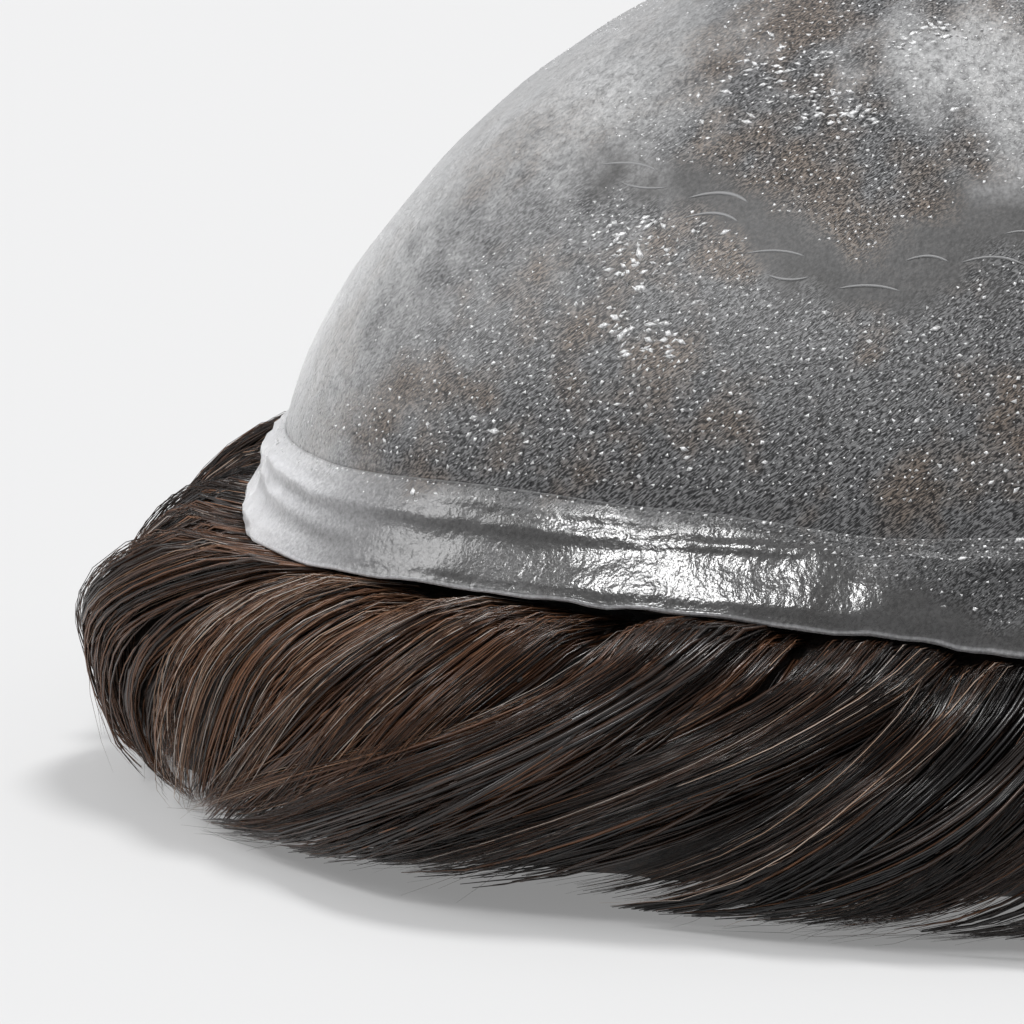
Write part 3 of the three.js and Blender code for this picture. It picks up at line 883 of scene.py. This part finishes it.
def tubes(point, outward, width, depth, roll):
    """Three-sided tubes along lines. width and depth are given for each point of each line."""
    count, rings = point.shape[:2]
    along = unit(np.gradient(point, axis=1))
    side = unit(np.cross(along, outward))
    above = np.cross(side, along)
    corners = []
    for turn in (math.radians(210), math.radians(330), math.radians(90)):
        a = turn + roll[:, None]
        wide = width * np.cos(turn) * np.ones_like(a)
        deep = depth * np.sin(turn)
        corner = point + side * wide[..., None] * np.cos(roll)[:, None, None]
        corner = corner + above * wide[..., None] * np.sin(roll)[:, None, None]
        corner = corner + above * (deep * np.cos(roll)[:, None])[..., None]
        corner = corner - side * (deep * np.sin(roll)[:, None])[..., None]
        corners.append(corner)
    points = np.stack(corners, axis=2)
    first = 3 * (np.arange(count)[:, None] * rings + np.arange(rings - 1)[None, :]).reshape(-1, 1)
    quads = np.concatenate([first + np.array((k, k + 3, (k + 1) % 3 + 3, (k + 1) % 3)) for k in range(3)])
    ends = 3 * rings * np.arange(count)[:, None]
    triangles = np.concatenate([ends + np.array((0, 1, 2)), ends + 3 * (rings - 1) + np.array((2, 1, 0))])
    return points.reshape(-1, 3), quads, triangles


def lay_of(count, rings, tint, share, glint):
    """Colour, share of the way, place across and a glint for each vertex of the tubes"""
    lay = np.empty((count, rings, 3, 4))
    lay[..., 0] = tint[:, None, None]
    lay[..., 1] = share[..., None]
    lay[..., 2] = np.array((0, 1, 0.5))[None, None, :]
    lay[..., 3] = glint[:, None, None]
    return lay.reshape(-1, 4)


def tints(random, count, warmth, warmer):
    """Mostly near-black, some brown, a little copper. warmer raises the share of copper."""
    odd = random.uniform(0, 1, count) < 0.08
    own = np.where(odd, random.uniform(0.25, 0.8, count), 0.19 * random.beta(1, 2, count))
    return np.clip(own + 0.27 * warmth**2 + warmer * random.uniform(0.3, 1.7, count), 0, 1)


# %% [markdown]
# The same tubes also make the film's creases. Where it has been pressed flat, it keeps a few short
# pale arcs, each a fold much finer than the skin's own mesh could carry.

# %% Short creases in the film
CREASE_RINGS = 13
CREASE_WIDTH = 1.9 * MM  # times the width in the table
CREASE_FLATNESS = 0.15
FILM_CREASES = table(
    "angle slope length bow width",
    (-53, 49.5, 5, 0.6, 0.13),
    (-50, 51, 4, -0.3, 0.1),
    (-42, 52, 5, 0.9, 0.16),
    (-41.5, 54, 4.5, 0.8, 0.13),
    (-34, 57, 5, 0.5, 0.12),
    (-32, 59, 3.5, -0.4, 0.1),
    (-24, 60, 5.5, 0.5, 0.12),
    (-19, 57, 4, 0.6, 0.12),
    (-12, 57, 6, 0.8, 0.13),
    (-9, 54, 4, 0.4, 0.1),
    (26, 41, 6, 0.8, 0.14),
    (70, 31, 6, -0.8, 0.14),
    (140, 51, 6, 0.8, 0.14),
    (202, 40, 6, 0.7, 0.14),
)


def make_creases():
    t = np.linspace(-0.5, 0.5, CREASE_RINGS)[None, :]
    angle, slope, length, bow, width = (column[:, None] for column in FILM_CREASES.values())
    across = length * MM * t / (HALF_WIDTH * np.sin(np.radians(slope)))
    up = bow * MM * (1 - 4 * t**2) / CAP_DEPTH
    angles, slopes = np.radians(angle) + across, np.radians(slope) - up
    point = skin_surface(angles, slopes)
    outward = unit(point - np.array([*CENTRE, SEAM - 20 * MM]))
    wide = CREASE_WIDTH * width * np.sqrt(1.02 - 4 * t**2)
    points, quads, triangles = tubes(point, outward, wide, CREASE_FLATNESS * wide, np.zeros(len(angle)))
    return finished(piece_from_arrays(points, quads, triangles), "film_creases", "knotted_skin")


film_creases = make_creases()

# %% [markdown]
# ## The four quarters of hair
# Each quarter has three layers. A bed, smoothed from the frame's own solid, closes it. Wisps give it
# body, and single hairs with a few strays give it its fine surface. The strays matter more than
# their number says: without them hair looks like carved wood.

# %% A bed under the hair
LOW_PART = 16 * MM
LOW_RISE = 2.6 * MM


def bed(node, name, voxel, shrink, rounds):
    """A smooth copy of a node, drawn in a little and raised near the table, to lie under the hair"""
    only(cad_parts[node])
    bpy.ops.object.duplicate()
    piece = bpy.context.object
    bpy.ops.object.mode_set(mode="EDIT")
    bpy.ops.mesh.select_all(action="SELECT")
    bpy.ops.mesh.remove_doubles(threshold=0.02 * MM)
    bpy.ops.object.mode_set(mode="OBJECT")
    apply_modifier(piece, "REMESH", mode="VOXEL", voxel_size=voxel)
    apply_modifier(piece, "SMOOTH", factor=0.5, iterations=rounds)
    normals = np.empty(3 * len(piece.data.vertices))
    piece.data.vertices.foreach_get("normal", normals)
    points = vertices_of(piece) - shrink * normals.reshape(-1, 3)
    points[:, 2] += LOW_RISE * np.clip(1 - points[:, 2] / LOW_PART, 0, 1)
    points[:, 2] = np.maximum(points[:, 2], 0.1 * MM)
    move_vertices(piece, points)
    piece.data.materials.clear()
    return finished(piece, name, "hair", node)


# The hair's quarter, the locks where it starts and ends, how many wisps and hairs it has, and how deep
# under them its bed lies, in metres
QUARTERS = (
    ("left_side_hair", -3, 4, 1150, 1750, 0.0019),
    ("back_hair", 4, 11, 1080, 900, 0.0018),
    ("right_side_hair", 11, 18, 900, 900, 0.0019),
    ("front_hair", 18, 27, 1200, 1750, 0.0019),
)
BED_VOXEL = 2.1 * MM
hair_beds = [bed(row[0], row[0] + "_bed", BED_VOXEL, row[5], 4) for row in QUARTERS]

# %% Wisps and single hairs
WISP_WIDTH = 0.25 * MM
WISP_DEPTH = 0.09 * MM
WISP_RINGS = 14
HAIR_WIDTH = 0.047 * MM
HAIR_RINGS = 13
STRAYS = 0.12


def taper(share, tip):
    """Full over most of the way, and fine at the tip"""
    return np.clip((1 - share) / tip, 0.08, 1) ** 0.7 * np.clip(share / 0.04, 0.3, 1)


def warmer_at(angle):
    """The front of the wearer's left side has more copper in it than the rest"""
    return 0.42 * np.exp(-((degrees_from(angle, -52) / 26) ** 2))


def make_wisps(name, first, last, count, seed):
    random = np.random.default_rng(seed)
    share = shares(0.08, WISP_RINGS, count, random)
    root = rooted(count, first * LOCK_TURN, last * LOCK_TURN, random)
    lift = random.uniform(-1.5, 0.4, count)
    point, outward, warmth = hair_lines(root, share, tress_table(seed + 1, 5), 5, lift, random)
    width = WISP_WIDTH * random.uniform(0.5, 1.4, count)[:, None] * taper(share, 0.35)
    depth = WISP_DEPTH * taper(share, 0.2)
    point = kept_clear(point, 0.25 * MM)
    points, quads, triangles = tubes(point, outward, width, depth, random.normal(0, 0.25, count))
    tint = np.minimum(tints(random, count, warmth, warmer_at(root)), 0.6)
    lay = lay_of(count, WISP_RINGS, tint, share, random.uniform(0, 1, count))
    return finished(piece_from_arrays(points, quads, triangles, lay), name + "_wisps", "hair")


def wandering(share, count, random):
    """How far strays leave their tress, outward and aside, in metres. Most hairs stay with it."""
    stray = (random.uniform(0, 1, count) < STRAYS)[:, None]
    out = random.uniform(0.4, 2.6, count)[:, None] * share**2.5
    loop = np.sin(random.uniform(2.5, 6.5, count)[:, None] * share)
    aside = random.normal(0, 2.2, count)[:, None] * share**1.5 * loop
    return out * stray * MM, (aside * stray + random.normal(0, 0.18, count)[:, None]) * MM


def make_hairs(name, first, last, count, seed):
    random = np.random.default_rng(seed)
    share = shares(0.1, HAIR_RINGS, count, random)
    root = rooted(count, first * LOCK_TURN, last * LOCK_TURN, random)
    lift = random.triangular(-0.6, 0.7, 1.1, count)
    point, outward, warmth = hair_lines(root, share, tress_table(seed + 1, 6), 6, lift, random)
    away, aside = wandering(share, count, random)
    side = unit(np.cross(np.gradient(point, axis=1), outward))
    point = kept_clear(point + outward * away[..., None] + side * aside[..., None], 0.15 * MM)
    width = HAIR_WIDTH * random.uniform(0.7, 1.3, count)[:, None] * taper(share, 0.3)
    points, quads, triangles = tubes(point, outward, width, width, random.uniform(0, 2, count))
    tint = tints(random, count, warmth, 0.04 + warmer_at(root))
    lay = lay_of(count, HAIR_RINGS, tint, share, random.uniform(0, 1, count))
    return finished(piece_from_arrays(points, quads, triangles, lay), name + "_strands", "hair")


hair_wisps = [make_wisps(*row[:4], 100 + row[1]) for row in QUARTERS]
hair_strands = [make_hairs(*row[:3], row[4], 500 + row[1]) for row in QUARTERS]

# %% [markdown]
# ## The hair inside the cap
# The same hairs also line the hollow, where they lie close against the skin. They show from below.

# %% The lining and its hairs
LINING_DEPTH = 6.5 * MM
lining = bed("crown_hair", "crown_hair_bed", 2.9 * MM, 0.3 * MM, 3)
LINING_WISPS = 440
LINING_RINGS = 9


def make_lining_wisps():
    """Wisps on the inside of the lining, from near the crown down to the rim"""
    random = np.random.default_rng(71)
    share = np.linspace(0, 1, LINING_RINGS)[None, :] + np.zeros((LINING_WISPS, 1))
    root = random.uniform(0, 2 * np.pi, LINING_WISPS)
    start = np.radians(random.uniform(2, 62, LINING_WISPS))[:, None]
    length = np.radians(random.uniform(28, 48, LINING_WISPS))[:, None]
    slope = np.minimum(start + length * share, np.radians(90))
    swing = random.normal(0.16, 0.1, LINING_WISPS)[:, None] * np.sign(np.cos(root))[:, None]
    angle = root[:, None] - swing * share
    groove = 1.2 * MM * np.cos(10 * angle + slope) * np.sin(slope)
    rise = random.uniform(0.0, 0.9, LINING_WISPS)[:, None] * MM * (1 - 0.6 * np.abs(2 * share - 1))
    point = dome_point(angle, slope, 1.4 * MM + LINING_DEPTH + groove + rise - 0.2 * MM)
    inward = unit(np.array([*CENTRE, SEAM - 20 * MM]) - point)
    width = 0.5 * MM * taper(share, 0.4)
    depth = 0.12 * MM * np.ones_like(slope)
    points, quads, triangles = tubes(point, inward, width, depth, random.normal(0, 0.3, LINING_WISPS))
    tint = tints(random, LINING_WISPS, random.uniform(0, 1, LINING_WISPS), 0.0)
    lay = lay_of(LINING_WISPS, LINING_RINGS, tint, share, random.uniform(0, 1, LINING_WISPS))
    return finished(piece_from_arrays(points, quads, triangles, lay), "crown_hair_wisps", "hair")


lining_wisps = make_lining_wisps()

# %% [markdown]
# ## Materials
# Small helpers keep the node trees short: one adds a node with its settings, one links two sockets,
# and one makes a colour ramp.

# %% Helpers for materials


def new_material(name):
    material = bpy.data.materials.new(name)
    material.use_nodes = True
    return material, material.node_tree.nodes["Principled BSDF"]


def node(material, kind, **settings):
    made = material.node_tree.nodes.new("ShaderNode" + kind)
    for name, value in settings.items():
        if name in made.inputs:
            made.inputs[name].default_value = value
        else:
            setattr(made, name, value)
    return made


def link(material, source, target):
    material.node_tree.links.new(source, target)


def ramp(material, source, *stops):
    """A colour ramp. Each stop is a place and a colour of three numbers, or one for grey."""
    made = node(material, "ValToRGB")
    link(material, source, made.inputs["Fac"])
    elements = made.color_ramp.elements
    while len(elements) < len(stops):
        elements.new(0.5)
    for element, (place, colour) in zip(elements, stops):
        element.position = place
        element.color = (*(colour if isinstance(colour, tuple) else (colour,) * 3), 1)
    return made.outputs["Color"]


def maths(material, operation, *values):
    made = node(material, "Math", operation=operation)
    for socket, value in zip(made.inputs, values):
        if isinstance(value, (int, float)):
            socket.default_value = value
        else:
            link(material, value, socket)
    return made.outputs["Value"]


def mixed(material, blend, share, first, second):
    made = node(material, "Mix", data_type="RGBA", blend_type=blend)
    sockets = made.inputs["Factor"], made.inputs[6], made.inputs[7]
    for socket, value in zip(sockets, (share, first, second)):
        if isinstance(value, (int, float)):
            socket.default_value = value
        elif isinstance(value, tuple):
            socket.default_value = (*value, 1)
        else:
            link(material, value, socket)
    return made.outputs[2]


def wear(piece, material):
    piece.data.materials.clear()
    piece.data.materials.append(material)


# %% [markdown]
# ## The hair's finish
# Dark hair is nearly black with a brown body, and single hairs are copper or gold. Its gloss is what
# makes it hair: each hair is a fine glossy rod, so a group of them shows a bright band across their
# way. The wisps get more of it from stripes drawn along them, in colour and as bump.

# %% The hair materials


def hair_material(name, stripes):
    material, shader = new_material(name)
    lay = node(material, "Attribute", attribute_name="lay")
    parts = node(material, "SeparateColor")
    link(material, lay.outputs["Color"], parts.inputs["Color"])
    tint, share, across = parts.outputs["Red"], parts.outputs["Green"], parts.outputs["Blue"]
    place = node(material, "CombineXYZ")
    link(material, maths(material, "MULTIPLY", across, stripes), place.inputs["X"])
    link(material, maths(material, "MULTIPLY", share, 3.0), place.inputs["Y"])
    link(material, maths(material, "MULTIPLY", lay.outputs["Alpha"], 91.0), place.inputs["Z"])
    noise = node(material, "TexNoise", Scale=1.0, Detail=3.0, Roughness=0.6)
    link(material, place.outputs["Vector"], noise.inputs["Vector"])
    shifted = maths(material, "ADD", tint, maths(material, "MULTIPLY_ADD", noise.outputs["Fac"], 0.8, -0.4))
    colour = ramp(
        material,
        shifted,
        (0.0, (0.003, 0.0026, 0.0026)),
        (0.18, (0.009, 0.0066, 0.0056)),
        (0.34, (0.025, 0.0145, 0.0098)),
        (0.52, (0.08, 0.035, 0.0175)),
        (0.72, (0.21, 0.095, 0.045)),
        (0.88, (0.38, 0.25, 0.17)),
        (1.0, (0.55, 0.5, 0.46)),
    )
    link(material, colour, shader.inputs["Base Color"])
    rough = ramp(material, noise.outputs["Fac"], (0.3, 0.17), (0.7, 0.36))
    link(material, rough, shader.inputs["Roughness"])
    bump = node(material, "Bump", Strength=0.5, Distance=0.00008)
    link(material, noise.outputs["Fac"], bump.inputs["Height"])
    link(material, bump.outputs["Normal"], shader.inputs["Normal"])
    shader.inputs["Specular IOR Level"].default_value = 0.55
    return material


wisp_material = hair_material("hair_wisps", 4.5)
strand_material = hair_material("hair_strands", 1.0)
for piece in (*hair_wisps, lining_wisps):
    wear(piece, wisp_material)
for piece in hair_strands:
    wear(piece, strand_material)

STREAK_SLANT = math.radians(42)
STREAK_SIZE = (1.2 * MM, 26 * MM, 0.9 * MM)
bed_material, bed_shader = new_material("hair_bed")
bed_place = node(bed_material, "TexCoord")
bed_way = node(
    bed_material, "Mapping", vector_type="TEXTURE", Rotation=(STREAK_SLANT, 0, 0), Scale=STREAK_SIZE
)
bed_noise = node(bed_material, "TexNoise", Scale=1.0, Detail=4.0, Roughness=0.8)
link(bed_material, bed_place.outputs["Object"], bed_way.inputs["Vector"])
link(bed_material, bed_way.outputs["Vector"], bed_noise.inputs["Vector"])
bed_colour = ramp(
    bed_material, bed_noise.outputs["Fac"], (0.42, (0.003, 0.0026, 0.0024)), (0.66, (0.05, 0.032, 0.024))
)
link(bed_material, bed_colour, bed_shader.inputs["Base Color"])
bed_shader.inputs["Roughness"].default_value = 0.45
bed_bump = node(bed_material, "Bump", Strength=0.8, Distance=0.0005)
link(bed_material, bed_noise.outputs["Fac"], bed_bump.inputs["Height"])
link(bed_material, bed_bump.outputs["Normal"], bed_shader.inputs["Normal"])
for piece in (*hair_beds, lining):
    wear(piece, bed_material)

# %% [markdown]
# ## The film's finish
# The film is clear, but dark hair lies right behind it and a haze of fine white covers it, so it
# reads as grey. Where it is seen aslant there is more film in the way and it turns white, which is
# what Sheen does. Short slanting strokes are the hairs' ends under the film. The band is the same film
# in more layers: where it is clear it is smooth and glossy, and lets some light through by Alpha.
# Some of the white is painted light in the colour: the frost is partly painted sheen and a painted
# highlight, and the band's loose end has painted light through it.

# %% The film's materials
STROKE_SLANT = math.radians(38)
STROKE_SIZE = (0.2 * MM, 0.62 * MM, 0.115 * MM)


def film_material(name, alpha, painted_shade, gloss, coat):
    """The knotted parts are darkened by a factor, painted shade that keeps the band's knotted slope, which
    faces up into more light, as dark as the skin. gloss is the clear parts' roughness, and coat how wet
    they look.
    """
    material, shader = new_material(name)
    place = node(material, "TexCoord").outputs["Object"]
    slanted = node(
        material, "Mapping", vector_type="TEXTURE", Rotation=(STROKE_SLANT, 0, 0), Scale=STROKE_SIZE
    )
    link(material, place, slanted.inputs["Vector"])
    strokes = node(material, "TexNoise", Scale=1.0, Detail=1.5, Roughness=0.5)
    link(material, slanted.outputs["Vector"], strokes.inputs["Vector"])
    grain = node(material, "TexNoise", Scale=2400.0, Detail=2.0, Roughness=0.6)
    cloud = node(material, "TexNoise", Scale=80.0, Detail=3.0, Roughness=0.6)
    crinkle = node(material, "TexNoise", Scale=900.0, Detail=3.0, Roughness=0.6)
    wrinkles = node(material, "TexNoise", Scale=760.0, Detail=4.0, Roughness=0.65, Distortion=0.6)
    specks = node(material, "TexVoronoi", Scale=1050.0)
    for texture in (grain, cloud, crinkle, wrinkles, specks):
        link(material, place, texture.inputs["Vector"])
    kept = node(material, "Attribute", attribute_name="film")
    film = node(material, "SeparateColor")
    link(material, kept.outputs["Color"], film.inputs["Color"])
    clear, frost_sheen_share, pale_painted_light = (film.outputs[name] for name in ("Red", "Green", "Blue"))
    dull, stroke = kept.outputs["Alpha"], strokes.outputs["Fac"]

    grey = ramp(material, stroke, (0.44, (0.008, 0.008, 0.009)), (0.58, (0.19, 0.19, 0.192)))
    brown = ramp(material, stroke, (0.44, (0.012, 0.008, 0.006)), (0.58, (0.19, 0.145, 0.11)))
    where_brown = ramp(material, cloud.outputs["Fac"], (0.48, 0.0), (0.6, 0.8))
    knotted = mixed(material, "MIX", where_brown, grey, brown)
    speck = ramp(material, specks.outputs["Distance"], (0.08, 0.15), (0.22, 1.0))
    knotted = mixed(material, "MULTIPLY", 0.75, knotted, speck)
    knotted = mixed(material, "MULTIPLY", 1.0, knotted, (painted_shade, painted_shade, painted_shade))
    plain = ramp(material, cloud.outputs["Fac"], (0.35, (0.052, 0.05, 0.048)), (0.7, (0.09, 0.09, 0.091)))
    body = mixed(material, "MIX", maths(material, "MULTIPLY", clear, 0.92), knotted, plain)
    # Frost: fine cracks in a light grey over the knotted colour, partly its own and partly painted sheen
    # and a painted highlight
    cracked = ramp(material, wrinkles.outputs["Fac"], (0.36, 0.24), (0.48, 0.42), (0.64, 0.53))
    frosted_sheen_colour = mixed(material, "MIX", maths(material, "MULTIPLY", frost_sheen_share, 0.8), body, cracked)
    # Painted light: near white where light would shine through the band's clear film, and a painted
    # highlight on its bead
    with_painted_light = mixed(material, "MIX", pale_painted_light, frosted_sheen_colour, (0.97, 0.97, 0.99))
    fine = ramp(material, grain.outputs["Fac"], (0.3, 0.25), (0.7, 0.75))
    link(material, mixed(material, "OVERLAY", 0.6, with_painted_light, fine), shader.inputs["Base Color"])
    rough = maths(material, "MULTIPLY_ADD", grain.outputs["Fac"], 0.4, 0.12)
    both = node(material, "Mix", data_type="FLOAT")
    link(material, maths(material, "MULTIPLY_ADD", dull, 0.3, gloss), both.inputs["B"])
    link(material, clear, both.inputs["Factor"])
    link(material, rough, both.inputs["A"])
    link(material, both.outputs["Result"], shader.inputs["Roughness"])
    shader.inputs["Alpha"].default_value = alpha
    shader.inputs["Sheen Weight"].default_value = 1.0
    shader.inputs["Sheen Roughness"].default_value = 0.38
    shader.inputs["Sheen Tint"].default_value = (1, 1, 1, 1)
    dry = maths(material, "MAXIMUM", pale_painted_light, dull)
    wet = maths(material, "MULTIPLY", clear, maths(material, "MULTIPLY_ADD", dry, -coat, coat))
    link(material, wet, shader.inputs["Coat Weight"])
    shader.inputs["Coat Roughness"].default_value = 0.15
    grained = maths(material, "MULTIPLY", grain.outputs["Fac"], 0.3)
    relief = maths(material, "MULTIPLY_ADD", stroke, 0.5, grained)
    crinkled = maths(material, "MULTIPLY", crinkle.outputs["Fac"], 0.9)
    height = node(material, "Mix", data_type="FLOAT")
    link(material, clear, height.inputs["Factor"])
    link(material, relief, height.inputs["A"])
    link(material, crinkled, height.inputs["B"])
    frosted = maths(material, "MULTIPLY", wrinkles.outputs["Fac"], maths(material, "ADD", frost_sheen_share, pale_painted_light))
    bump = node(material, "Bump", Strength=1.0, Distance=0.00012)
    raised = maths(material, "MULTIPLY_ADD", frosted, 2.4, height.outputs["Result"])
    link(material, raised, bump.inputs["Height"])
    link(material, bump.outputs["Normal"], shader.inputs["Normal"])
    link(material, bump.outputs["Normal"], shader.inputs["Coat Normal"])
    return material


wear(skin, film_material("knotted_skin", 1.0, 1.0, 0.5, 0.0))
# Painted shade: the band's knotted part is darkened to 0.7, because its slope faces up into more light than
# the skin
wear(band, film_material("clear_band", 0.9, 0.7, 0.2, 0.8))

# %% [markdown]
# The knots are the same polymer, drawn up round a hair: clear, so mostly a bright point of gloss, and their
# colour is painted near white as well, a painted glint.
# The creases have a plain grey of their own.

# %% The materials of the knots and creases
knot_material, knot_shader = new_material("knots")
knot_place = node(knot_material, "TexCoord")
knot_noise = node(knot_material, "TexNoise", Scale=2600.0, Detail=1.0)
link(knot_material, knot_place.outputs["Object"], knot_noise.inputs["Vector"])
# Painted glint: a near-white base colour, where a clear knot would show only its gloss
knot_tone_and_glint = ramp(knot_material, knot_noise.outputs["Fac"], (0.35, 0.3), (0.6, 0.95))
link(knot_material, knot_tone_and_glint, knot_shader.inputs["Base Color"])
knot_shader.inputs["Roughness"].default_value = 0.12
knot_shader.inputs["Specular IOR Level"].default_value = 0.8
knot_shader.inputs["Sheen Weight"].default_value = 1.0
for piece in (knots, band_knots):
    wear(piece, knot_material)

crease_material, crease_shader = new_material("film_creases")
crease_shader.inputs["Base Color"].default_value = (0.26, 0.26, 0.262, 1)
crease_shader.inputs["Roughness"].default_value = 0.5
wear(film_creases, crease_material)

# %% [markdown]
# ## Floor and light
# A product photograph of this kind has one even pale surface that runs out of sight. A wide plane and
# a world of the same brightness meet without a line. One soft lamp stands high at the camera's left
# and gives the gloss, a second lights the cap's edge, and one overhead throws the shadow.

# %% The floor
FLOOR_GREY = 0.483
FLOOR_GLOW = 0.23
bpy.ops.object.select_all(action="DESELECT")
bpy.ops.mesh.primitive_plane_add(size=30, location=(0, 0, -0.0003))
floor = bpy.context.object
floor.name = "floor"
floor_material, floor_shader = new_material("floor")
floor_shader.inputs["Base Color"].default_value = (*(FLOOR_GREY,) * 3, 1)
floor_shader.inputs["Emission Color"].default_value = (1, 1, 1, 1)
floor_shader.inputs["Emission Strength"].default_value = FLOOR_GLOW
floor_shader.inputs["Roughness"].default_value = 1.0
floor_shader.inputs["Specular IOR Level"].default_value = 0.0
wear(floor, floor_material)

# %% World and lamps
BACKDROP = 0.863
NEAR_SIDE = 0.28
FAR_SIDE = 0.5
world = bpy.data.worlds.new("studio")
bpy.context.scene.world = world
world.use_nodes = True
sky = world.node_tree.nodes["Background"]
sky.inputs["Color"].default_value = (0.96, 0.97, 1.0, 1)
direction = node(world, "SeparateXYZ")
link(world, node(world, "TexCoord").outputs["Generated"], direction.inputs["Vector"])
behind = maths(world, "MULTIPLY_ADD", direction.outputs["X"], -0.5, 0.5)
link(world, ramp(world, behind, (0.2, NEAR_SIDE), (0.9, FAR_SIDE)), sky.inputs["Strength"])
backdrop = node(world, "Background", Color=(BACKDROP, BACKDROP, BACKDROP, 1))
choice = node(world, "MixShader")
link(world, node(world, "LightPath").outputs["Is Camera Ray"], choice.inputs["Fac"])
link(world, sky.outputs["Background"], choice.inputs[1])
link(world, backdrop.outputs["Background"], choice.inputs[2])
link(world, choice.outputs["Shader"], world.node_tree.nodes["World Output"].inputs["Surface"])
bpy.context.scene.view_settings.view_transform = "Standard"


def sun(name, azimuth, elevation, strength, softness):
    """A soft distant lamp. azimuth is measured from +X towards +Y."""
    lamp = bpy.data.lights.new(name, "SUN")
    lamp.energy = strength
    lamp.angle = math.radians(softness)
    holder = bpy.data.objects.new(name, lamp)
    bpy.context.scene.collection.objects.link(holder)
    a, e = math.radians(azimuth), math.radians(elevation)
    towards = Vector((math.cos(e) * math.cos(a), math.cos(e) * math.sin(a), math.sin(e)))
    holder.rotation_euler = towards.to_track_quat("Z", "Y").to_euler()


sun("key", -40, 50, 1.15, 13)
sun("rim", -84, 38, 0.72, 22)
sun("top", 104, 76, 1.82, 18)

# %% [markdown]
# ## The camera
# The photograph was taken from a little above, with a long lens, and shows the wearer's left side
# close up. The camera stands 0.7 m from the piece, 12 degrees above level.

# %% Camera
ELEVATION = math.radians(12)
YAW = math.radians(6.7)
DISTANCE = 0.7
TARGET = Vector((0.034, -0.061, 0.03303)) + Vector((CENTRE[0], CENTRE[1], 0))
forward = Vector(
    (-math.cos(ELEVATION) * math.cos(YAW), -math.cos(ELEVATION) * math.sin(YAW), -math.sin(ELEVATION))
)
camera_data = bpy.data.cameras.new("camera")
camera_data.sensor_width = 36
camera_data.lens = 237.2
camera = bpy.data.objects.new("camera", camera_data)
camera.location = TARGET - forward * DISTANCE
camera.rotation_euler = forward.to_track_quat("-Z", "Y").to_euler()
bpy.context.scene.collection.objects.link(camera)
bpy.context.scene.camera = camera
